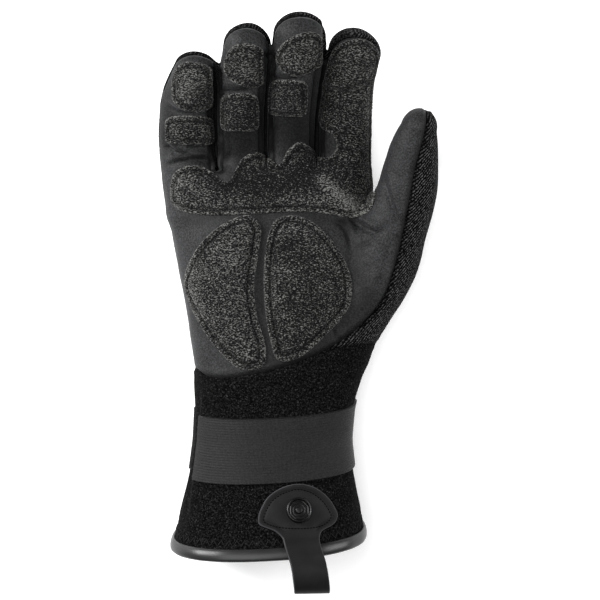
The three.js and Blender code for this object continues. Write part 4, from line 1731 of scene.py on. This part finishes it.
@dataclass
class Panels:
    """The sewn panels of the glove's shell."""

    skin: Skin  # the glove's surface
    finishes: dict[Slot, Material]  # a material for each slot
    inset: float = 0.12  # half the gap at a seam
    dent: float = 0.85  # how deep the cloth turns in at a seam
    roll: float = 0.25  # how far it swells beside the seam
    turn: float = 1.1  # half width of the turned edge
    lap: float = 1.0  # how far a seam allowance runs on under its neighbour

    HEM_REACH = 0.8  # how far from the cut edge an edge point still belongs to the hem
    SIDE_HEIGHTS = (8, 18)  # heights over the side seam between which the wrist seam comes to turn in

    def build(self) -> None:
        """Cuts the panels, turns their edges in and gives them their wall."""
        regions = Regions()
        self._panel("palm", regions.palm, Slot.SUEDE, "palm_panel", lap=self.lap)
        self._panel("back_of_hand", regions.back, Slot.KNIT, "back_panel")
        self._panel("cuff", regions.gauntlet, Slot.PLUSH, "gauntlet", self._at_hem, lap=self.lap)
        for slit in SLITS:
            node = slit[0]
            # the strips deep between the fingers get painted shade all over
            self._panel(node + "_wall", lambda p: regions.strip(p, slit), Slot.SUEDE, node, shade=0.6)

    def _at_hem(self, p: Array) -> Array:
        """Which points lie on the cut edge of the cuff."""
        return np.abs(Regions.above_hem(p)) < self.HEM_REACH

    def _panel(self, name: str, region: Field, slot: Slot, node: str, skip: Field | None = None,
               shade: float = 0.0, lap: float = 0.0) -> None:
        """Makes one panel.

        Args:
            name: the piece's name.
            region: distance inside the panel.
            slot: its finish.
            node: the CAD node that it stands for.
            skip: which edge points aren't seams.
            shade: painted shade over the whole panel, 0 to 1.
            lap: width of its seam allowance, hidden inside the seam.
        """
        sheet = self.skin.sheet.cut(lambda p: region(p) - self.inset).without_scraps()
        gap = sheet.rim_distance(skip)
        level = 1 - smooth_step(Regions.side(sheet.points), *self.SIDE_HEIGHTS)
        flat_seam = bell(Regions.above_wrist(sheet.points), 2.5) * level
        dent = self.dent * (1 - 0.75 * flat_seam)
        swell = self.roll * (1 - flat_seam) * bell(gap - 2.1 * self.turn, self.turn)
        outer = sheet.raised(swell - dent * bell(gap, self.turn))
        wall = WALL - 0.9 * dent * bell(gap, self.turn)
        inner = outer.points - sheet.normals() * wall[:, None]
        seam = np.flatnonzero(gap < 0.05)
        inner[seam] -= lap * unit(gradient(region, sheet.points[seam]), 0.2)
        closed = outer.walled(inner)
        facing = np.abs(sheet.relaxed(3).normals() @ np.array(RibKnit.across))
        # painted shade along each seam's dent, and over the whole panel where shade is given
        sewn = np.maximum(bell(gap, 1.3 * self.turn), shade)
        marks = {"sewn": sewn, "facing": facing, "painted_light_and_shade": painted_strokes(sheet.points, PAINTED_SUEDE_LIGHT_AND_SHADE)}
        piece = mesh_object(name, closed.points, closed.faces, self.finishes[slot], marks=marks)
        settle(piece, slot, node)


class PatchKind(Enum):
    """How a grip piece is made up."""

    FLAT = "flat"
    PADDED = "padded"


@dataclass
class GripPiece:
    """A grip patch or pad sewn on the palm side."""

    node: str  # the CAD node that it stands for
    outline: Outline  # its shape in plan
    kind: PatchKind = PatchKind.FLAT
    rise: float = 1.15  # height of its face above the skin
    edge: float = 0.9  # radius of its rounded edge
    seam: float = 2.6  # distance of the sewn line from the edge
    groove: float = 0.45  # depth of the sewn line
    puff: float = 0.25  # how far the padding swells inside the sewn line
    low_x: float = -100.0  # limits in x that keep it on its own finger
    high_x: float = 100.0

    SEWN_WIDE = 0.55  # half width of the groove
    PUFF_OVER = 4.0  # distance inside the sewn line over which the padding rises
    FOOT = 0.35  # share of the rise that the edge has at its foot

    def height(self, depth: Array) -> Array:
        """Works out the height of the face.

        Args:
            depth: distances inside the outline.

        Returns:
            A height for each.
        """
        sewn = -self.groove * bell(depth - self.seam, self.SEWN_WIDE)
        swell = self.puff * (1 - np.exp(-np.maximum(depth - self.seam, 0) / self.PUFF_OVER))
        return self.rise * (self.FOOT + (1 - self.FOOT) * rounded_edge(depth, self.edge)) + sewn + swell

    def build(self, skin: Skin, material: Material) -> Object:
        """Cuts the piece from the skin and raises its face.

        Args:
            skin: the glove's surface.
            material: its finish.

        Returns:
            The finished piece.
        """
        sheet = skin.sheet
        near = within(sheet.points, self.outline.points, 3) & (sheet.normals()[:, 2] > -0.05)
        part = Sheet(sheet.points, sheet.faces[near[sheet.faces].all(1)]).tidy()

        def inside(p: Array) -> Array:
            """Distance inside the outline, the finger's own width and the side seam."""
            on_finger = np.minimum(p[:, 0] - self.low_x, self.high_x - p[:, 0])
            return np.minimum(np.minimum(self.outline.depth(p), on_finger), Regions.side(p) - 1)

        level = part.relaxed(3).normals()[:, 2]
        cloth = part.cut(inside, 0.35, (level - 0.24) * 5).without_scraps().divided()
        depth = cloth.rim_distance()
        grain = 0.1 * noise_at(cloth.points, 0.9) + 0.07 * noise_at(cloth.points, 0.55)
        top = cloth.raised(self.height(depth) + grain * smooth_step(depth, 0, 0.6))
        closed = top.walled(cloth.raised(0.08).points)
        # painted shade in the stitched groove, a painted highlight along the rounded edge, and painted light
        # and shade with some wear
        marks = {"sewn": bell(depth - self.seam, 0.75), "rim": bell(depth - 0.35, 0.4),
                 "wear_and_painted_light": painted_strokes(cloth.points, WEAR_AND_PAINTED_LIGHT)}
        piece = mesh_object(self.node + "_grip", closed.points, closed.faces, material, 60.0, marks)
        settle(piece, Slot.GRIP, self.node)
        return piece


@dataclass
class GripSet:
    """All the grip pieces, with the stitches that hold them."""

    skin: Skin  # the glove's surface
    sewing: Stitcher  # makes the stitches

    def pieces(self) -> list[GripPiece]:
        """Lists the pads, the knuckle panel and the finger patches.

        Returns:
            The pieces.
        """
        pad = {"kind": PatchKind.PADDED, "rise": 1.5, "edge": 1.1, "seam": 3.3, "groove": 0.75, "puff": 1.1}
        found = [
            GripPiece("pad_ulnar", Outline.through(PAD_ULNAR), **pad),
            GripPiece("pad_radial", Outline.through(PAD_RADIAL), **pad),
            GripPiece("knuckle_patch", Outline.through(KNUCKLE), low_x=-60.0),
        ]
        between = {"pinky": (-60, -26.2), "ring": (-23.6, -2.0), "middle": (0.2, 25.4)}
        for node, x, y, wide, long, turn, full in FINGER_PATCHES:
            low, high = between[node.split("_")[1]]
            outline = Outline.rounded(x, y, wide, long, turn, full)
            found.append(GripPiece(node, outline, low_x=low, high_x=high))
        return found

    def build(self, material: Material, thread: Material) -> None:
        """Makes the pieces and sews them down.

        Args:
            material: the grip knit.
            thread: the thread.
        """
        lines = []
        for piece in self.pieces():
            made = piece.build(self.skin, material)
            lines.append(on_surface(made, piece.outline.inset(piece.seam), 0.02))
        stitches = self.sewing.sew("grip_stitches", lines, thread, 1.7, 1.25, 0.17)
        settle(stitches, Slot.GRIP)


def on_surface(piece: Object, line: Array, rise: float) -> tuple[Array, Array]:
    """Drops a line in plan onto a piece from above.

    Args:
        piece: the piece to lie on.
        line: the line's points, x and y in millimetres.
        rise: how far above the surface it lies.

    Returns:
        The points and their outward directions.
    """
    mesh = piece.data
    tree = BVHTree.FromPolygons([v.co for v in mesh.vertices], [p.vertices for p in mesh.polygons])
    points, normals = [], []
    for x, y in line:
        hit, normal, _, _ = tree.ray_cast(Vector((x, y, 200)) * METRES, Vector((0, 0, -1)))
        if hit is not None:
            points.append(np.array(hit) / METRES + np.array(normal) * rise)
            normals.append(np.array(normal))
    return np.array(points), np.array(normals)


@dataclass
class WristStrap:
    """The elastic strap round the cuff."""

    hand: HandForm  # the cuff's form
    under: float = 0.2  # gap between the strap and the cuff
    thick: float = 1.2  # its thickness
    cords: int = 25  # how many cords run along it
    relief: float = 0.1  # depth of the channels between the cords
    start: float = 155.0  # degrees round the cuff where its upper end lies, 0 at the thumb's side
    end: float = -170.0  # degrees where its lower end lies

    def build(self, material: Material) -> None:
        """Sweeps the strap round the cuff.

        Args:
            material: the elastic.
        """
        wide = 5 * self.cords + 1
        across = np.linspace(0, 1, wide)
        angles = np.radians(np.linspace(self.start, self.end, 220))
        edge = np.minimum(across, 1 - across) * (STRAP_HIGH - STRAP_LOW)
        cord = np.abs(np.sin(across * math.pi * self.cords)) ** 0.6
        face = self.thick * rounded_edge(edge, 0.5)
        top = face - self.relief * (1 - cord) * smooth_step(edge, 0.2, 0.8)
        y = STRAP_LOW + across * (STRAP_HIGH - STRAP_LOW)
        grid_a, grid_y = (m.ravel() for m in np.meshgrid(angles, y, indexing="ij"))
        shape = (len(angles), wide, 3)
        foot = self.hand.around(grid_a, grid_y, self.under).reshape(shape)
        head = self.hand.around(grid_a, grid_y, self.under + np.tile(top, len(angles))).reshape(shape)
        rings = np.concatenate([head, foot[:, ::-1]], axis=1)
        settle(swept("elastic_strap", rings, material, closed=False), Slot.ELASTIC, "wrist_strap")


@dataclass
class HemBinding:
    """The tape folded over the cuff's cut edge."""

    hand: HandForm  # the cuff's form
    outside: float = 3.7  # how far it comes up the outside
    inside: float = 3.4  # how far it comes up the inside
    past: float = 1.7  # how far it stands past the cut edge
    over: float = 1.5  # height of its face above the cuff

    def profile(self) -> Array:
        """Draws the folded tape's section.

        Returns:
            Offsets from the skin, and distances from the cut edge, above 0 towards the hand.
        """
        deep = -WALL - 1.6
        corners = (
            (0.15, self.outside), (0.7, self.outside + 0.25), (self.over - 0.2, self.outside - 0.1),
            (self.over + 0.25, 2.2), (self.over + 0.3, 0.6), (self.over - 0.1, -0.9),
            (0.5, -self.past), (-1.2, -self.past - 0.35), (-2.7, -self.past + 0.2),
            (deep + 0.1, -0.4), (deep, 1.4), (deep + 0.3, self.inside),
            (-WALL - 0.25, self.inside), (-WALL - 0.2, 1.4), (-WALL - 0.2, -0.3),
            (0.12, -0.3), (0.12, 1.6),
        )
        return curve_through(corners, True, 3)

    def build(self, material: Material) -> None:
        """Sweeps the tape round the hem.

        Args:
            material: the coated tape.
        """
        profile = self.profile()
        angles = np.linspace(0, -2 * math.pi, 300, endpoint=False)
        size = len(profile)
        grid = np.repeat(angles, size)
        out, up = (np.tile(part, len(angles)) for part in profile.T)
        pucker = 0.05 * np.sin(19 * grid + 1.5) * smooth_step(out, 0, 1)
        points = self.hand.around(grid, HEM_Y + up, out + pucker)
        piece = swept("hem_tape", points.reshape(-1, size, 3), material, closed=True)
        settle(piece, Slot.BINDING, "hem_binding")


@dataclass
class PullTab:
    """The pull tab and its loop, one strip of coated sheet."""

    hand: HandForm  # the cuff's form
    sewing: Stitcher  # makes the stitches
    thick: float = 1.6  # thickness of the sheet
    seam: float = 2.5  # distance of the stitches from the head's edge

    COLUMNS = 41
    STEPS = 7
    HEAD_END = (21, 23.5)  # distances along the strip between which the sewn head ends
    NECK_Y = -114.5  # rows past this one aren't part of the head

    def rows(self) -> Array:
        """Lays out the sheet's inner face.

        Returns:
            A row of points across for each place along it.
        """
        across = (1 - np.cos(np.linspace(0, math.pi, self.COLUMNS))) / 2
        across = 0.5 * across + 0.5 * np.linspace(0, 1, self.COLUMNS)
        found = []
        for y, left, right, lift in TAB_ON_CUFF:
            x = left + (right - left) * across
            place = np.full_like(x, y)
            found.append(columns(x, place, self.hand.height(x, place) + lift))
        for y, left, right, z in TAB_LOOP:
            x = left + (right - left) * across
            hem = np.full_like(x, HEM_Y)
            middle = self.hand.height(np.array([(left + right) / 2]), hem[:1])
            arch = LOOP_ARCH * (self.hand.height(x, hem) - middle)
            found.append(columns(x, np.full_like(x, y), z + arch))
        table = np.array(found)
        return curve_through(table, False, self.STEPS, keys=table[:, self.COLUMNS // 2])

    def build(self, material: Material, thread: Material) -> None:
        """Thickens the strip, rounds its edges and sews its head.

        Args:
            material: the coated sheet.
            thread: the thread.
        """
        rows = self.rows()
        normal = unit(np.cross(np.gradient(rows, axis=0), np.gradient(rows, axis=1)))
        if normal[10, self.COLUMNS // 2, 2] < 0:
            normal = -normal
        length = distance_along(rows[:, self.COLUMNS // 2])
        flat = np.stack([rows[..., 0], np.repeat(length[:, None], self.COLUMNS, 1)], axis=2)
        border = Outline(np.concatenate([flat[:, 0], flat[::-1, -1]]))
        depth = np.maximum(border.depth(flat.reshape(-1, 2)).reshape(flat.shape[:2]), 0)
        swell = rounded_edge(depth, 0.6)
        head = 1 - smooth_step(length, *self.HEAD_END)[:, None]
        sewn = bell(depth - self.seam, 0.6) * head
        groove = 0.5 * sewn - 0.3 * head * smooth_step(depth, 3, 6)
        low = rows + normal * (self.thick / 2 * (1 - swell))[..., None]
        high = rows + normal * (self.thick / 2 * (1 + swell) - groove)[..., None]
        rings = np.concatenate([high, low[:, ::-1]], axis=1)
        # painted shade in the stitched groove and a painted highlight along the edge
        values = {"sewn": sewn, "rim": bell(depth - 0.2, 0.25)}
        marks = {key: np.concatenate([value, 0 * value], axis=1).ravel() for key, value in values.items()}
        piece = swept("pull_tab_sheet", rings, material, closed=False, crease=70.0, marks=marks)
        settle(piece, Slot.TAB, "pull_tab")
        self._sew(piece, thread)

    def _sew(self, piece: Object, thread: Material) -> None:
        """Sews a line round the head, a little inside its edge.

        Args:
            piece: the sheet.
            thread: the thread.
        """
        ends = [row for row in TAB_ON_CUFF if row[0] > self.NECK_Y]
        left = [(low + 0.2, y) for y, low, _, _ in ends]
        right = [(high - 0.2, y) for y, _, high, _ in ends]
        outline = Outline(curve_through(left + right[::-1], True, 8))
        line = on_surface(piece, outline.inset(self.seam), 0.03)
        stitches = self.sewing.sew("tab_stitches", [line], thread, 1.5, 1.1, 0.26)
        settle(stitches, Slot.TAB)


@dataclass
class Snap:
    """The ring snap on the tab: a rolled ring, a plate, a collar, an eight-sided spring and a boss."""

    radius: float = 6.0  # outer radius
    height: float = 2.4  # height of the ring over the tab
    boss: float = 1.65  # radius of the boss
    boss_height: float = 1.9  # height of its top over the seat
    spring: float = 4.5  # radius of the spring's corners
    wire: float = 0.36  # half thickness of the spring's wire

    SIDES = 64
    AXIS_GAP = 0.02  # radius of the pinhole left on the axis
    SPRING_SIDES = 8
    SPRING_LEVEL = 1.5

    def _turned(self, profile: Sequence, rounding: int = 1) -> tuple[Array, Array]:
        """Turns a closed profile about the axis.

        Args:
            profile: pairs of a radius and a height.
            rounding: points for each stretch of the profile.

        Returns:
            The points and the faces.
        """
        rows = curve_through(profile, True, rounding)
        radius = np.maximum(rows[:, 0], self.AXIS_GAP)
        angle = np.linspace(0, 2 * math.pi, self.SIDES, endpoint=False)[:, None]
        return self._quads(radius * np.cos(angle), radius * np.sin(angle), rows[:, 1] + 0 * angle)

    @staticmethod
    def _quads(*places: Array) -> tuple[Array, Array]:
        """Joins closed rings of points into quads.

        Args:
            places: x, y and z of the points, a row for each ring.

        Returns:
            The points and the faces.
        """
        number = np.arange(places[0].size).reshape(places[0].shape)
        after = np.roll(number, -1, axis=0)
        faces = np.stack([number, after, np.roll(after, -1, 1), np.roll(number, -1, 1)], axis=2)
        return np.stack(places, axis=2).reshape(-1, 3), faces.reshape(-1, 4)

    def _spring(self) -> tuple[Array, Array]:
        """Bends a wire into eight straight sides with rounded corners.

        Returns:
            The points and the faces.
        """
        turn = np.linspace(0, 2 * math.pi, self.SPRING_SIDES, endpoint=False)
        corners = turn + math.pi / self.SPRING_SIDES
        dense = evenly(columns(np.cos(corners), np.sin(corners)) * self.spring, 0.25, closed=True)
        for _ in range(2):
            dense = (np.roll(dense, 1, 0) + 2 * dense + np.roll(dense, -1, 0)) / 4
        away = unit(dense)
        x, y = (dense[:, k:k + 1] + away[:, k:k + 1] * (self.wire * np.cos(turn)) for k in (0, 1))
        lift = np.repeat((self.SPRING_LEVEL + self.wire * np.sin(turn))[None], len(dense), 0)
        return self._quads(x, y, lift)

    def build(self, material: Material) -> None:
        """Joins the parts on their seat on the tab.

        Args:
            material: the enamel.
        """
        r, h, b, top, gap = self.radius, self.height, self.boss, self.boss_height, self.AXIS_GAP
        ring = ((4.9, 0.15), (r - 0.5, 0.0), (r, 0.5), (r, h - 0.8), (r - 0.3, h - 0.15), (r - 0.65, h),
                (r - 0.95, h - 0.3), (r - 1.05, h - 1.0), (4.95, 0.8))
        plate = ((gap, 0.2), (5.0, 0.2), (5.0, 0.5), (gap, 0.5))
        boss = ((gap, 0.4), (b + 0.3, 0.4), (b + 0.1, 0.7), (b, top - 0.4), (b - 0.1, top - 0.15),
                (b - 0.3, top - 0.02), (b - 0.4, top), (gap, top))
        collar = ((2.4, 0.4), (3.3, 0.4), (3.3, 0.9), (3.12, 1.12), (2.85, 1.2), (2.6, 1.12), (2.4, 0.9))
        points, faces, start = [], [], 0
        for part in (self._turned(ring, 4), self._turned(plate), self._turned(boss), self._turned(collar),
                     self._spring()):
            points.append(part[0])
            faces.append(part[1] + start)
            start += len(part[0])
        axis = unit(np.array(SNAP_AXIS))
        x = unit(np.cross((0.0, 1.0, 0.0), axis))
        turn = np.stack([x, np.cross(axis, x), axis])
        seat = np.array(SNAP_TOP) - axis * self.boss_height
        placed = np.concatenate(points) @ turn + seat
        piece = mesh_object("ring_snap", placed, np.concatenate(faces), material, 40.0)
        face_outwards(piece)
        settle(piece, Slot.SNAP, "snap_fastener")


@dataclass
class CuffStitching:
    """The overlock zigzag above the hem."""

    hand: HandForm  # the cuff's form
    sewing: Stitcher  # makes the stitches
    above: float = 6.4  # distance of the zigzag's middle above the cut edge

    STEPS = 400

    def build(self, thread: Material) -> None:
        """Sews the row round the cuff.

        Args:
            thread: the thread.
        """
        angles = np.linspace(0, -2 * math.pi, self.STEPS, endpoint=False)
        points = self.hand.around(angles, np.full_like(angles, HEM_Y + self.above), 0.12)
        normals = unit(gradient(self.hand.distance, points))
        piece = self.sewing.sew("hem_zigzag", [(points, normals)], thread, 1.9, 4.4, 0.3, 56.0)
        settle(piece, Slot.PLUSH)


@dataclass
class Studio:
    """The floor, the soft lights and the camera straight above."""

    camera_place: tuple[float, float, float] = (0.01536, -0.0048, 1.3)  # in metres
    lens: float = 159.375  # its focal length
    floor_level: float = -0.0002  # in metres
    floor_glow: float = 0.22  # light that the floor gives off, as a light table does
    world_light: float = 0.12  # strength of the light from all round

    # Soft lights: name, place in metres, side of the face, watts
    LIGHTS = (
        ("key", (-0.6, 0.28, 0.4), 0.3, 10),
        ("fill", (0.62, 0.1, 0.4), 0.4, 4.5),
        ("top", (-0.38, 0.05, 1.6), 1.2, 21),
    )
    LIT_POINT = (0.0, 0.0, 0.02)
    FLOOR_HALF = 3000.0
    SENSOR = 36

    def build(self) -> None:
        """Makes the stage."""
        scene = bpy.context.scene
        scene.view_settings.view_transform = "Standard"
        self._floor()
        for row in self.LIGHTS:
            self._light(*row)
        scene.world = bpy.data.worlds.new("studio")
        scene.world.use_nodes = True
        sky = scene.world.node_tree.nodes["Background"].inputs
        sky["Color"].default_value = (1, 1, 1, 1)
        sky["Strength"].default_value = self.world_light
        data = bpy.data.cameras.new("camera")
        data.lens = self.lens
        data.sensor_width = self.SENSOR
        camera = bpy.data.objects.new("camera", data)
        camera.location = self.camera_place
        scene.collection.objects.link(camera)
        scene.camera = camera

    def _floor(self) -> None:
        """Lays a plain pale floor."""
        corners = np.array([(-1, -1), (1, -1), (1, 1), (-1, 1)]) * self.FLOOR_HALF
        points = columns(*corners.T, np.full(4, self.floor_level / METRES))
        g = Graph("floor_paper")
        tone = g.ramp(g.noise(g.place(), 60, 2, 0.5), ((0.2, 0.95), (0.8, 0.97)))
        paper = g.finish(Base_Color=tone, Roughness=0.9, Emission_Color=(1, 1, 1, 1),
                         Emission_Strength=self.floor_glow)
        mesh_object("floor", points, [(0, 1, 2, 3)], paper)

    def _light(self, name: str, place: tuple, size: float, power: float) -> None:
        """Adds a soft square light that faces the glove.

        Args:
            name: its name.
            place: where it stands, in metres.
            size: side of its face.
            power: watts.
        """
        data = bpy.data.lights.new(name, "AREA")
        data.size = size
        data.energy = power
        light = bpy.data.objects.new(name, data)
        light.location = place
        light.rotation_mode = "QUATERNION"
        light.rotation_quaternion = (Vector(self.LIT_POINT) - Vector(place)).to_track_quat("-Z", "Y")
        bpy.context.scene.collection.objects.link(light)


def main() -> None:
    """Builds the stage and every piece in order."""
    logging.basicConfig(level=logging.INFO, format="%(name)s: %(message)s")
    Studio().build()
    finishes = {
        Slot.SUEDE: Suede().material(),
        Slot.GRIP: GripKnit().material(),
        Slot.PLUSH: Plush().material(),
        Slot.KNIT: RibKnit().material(),
        Slot.ELASTIC: Elastic().material(),
        Slot.BINDING: Coated("hem_tape", 0.014, 0.33, 0.6, 0.02, 0.27).material(),
        Slot.TAB: Coated("tab_sheet", 0.0085, 0.55, 0.3, 0.03, 0.07).material(),
        Slot.SNAP: Enamel().material(),
    }
    form = GloveForm()
    skin = Skin(form)
    sewing = Stitcher()
    black = Thread("black_thread", 0.002, 0.06).material()
    overlock = Thread("overlock_thread", 0.006, 0.08).material()
    waxed = Thread("waxed_thread", 0.0004, 0.015).material()
    Panels(skin, finishes).build()
    GripSet(skin, sewing).build(finishes[Slot.GRIP], black)
    WristStrap(form.hand).build(finishes[Slot.ELASTIC])
    HemBinding(form.hand).build(finishes[Slot.BINDING])
    CuffStitching(form.hand, sewing).build(overlock)
    PullTab(form.hand, sewing).build(finishes[Slot.TAB], waxed)
    Snap().build(finishes[Slot.SNAP])


if __name__ == "__main__":
    main()
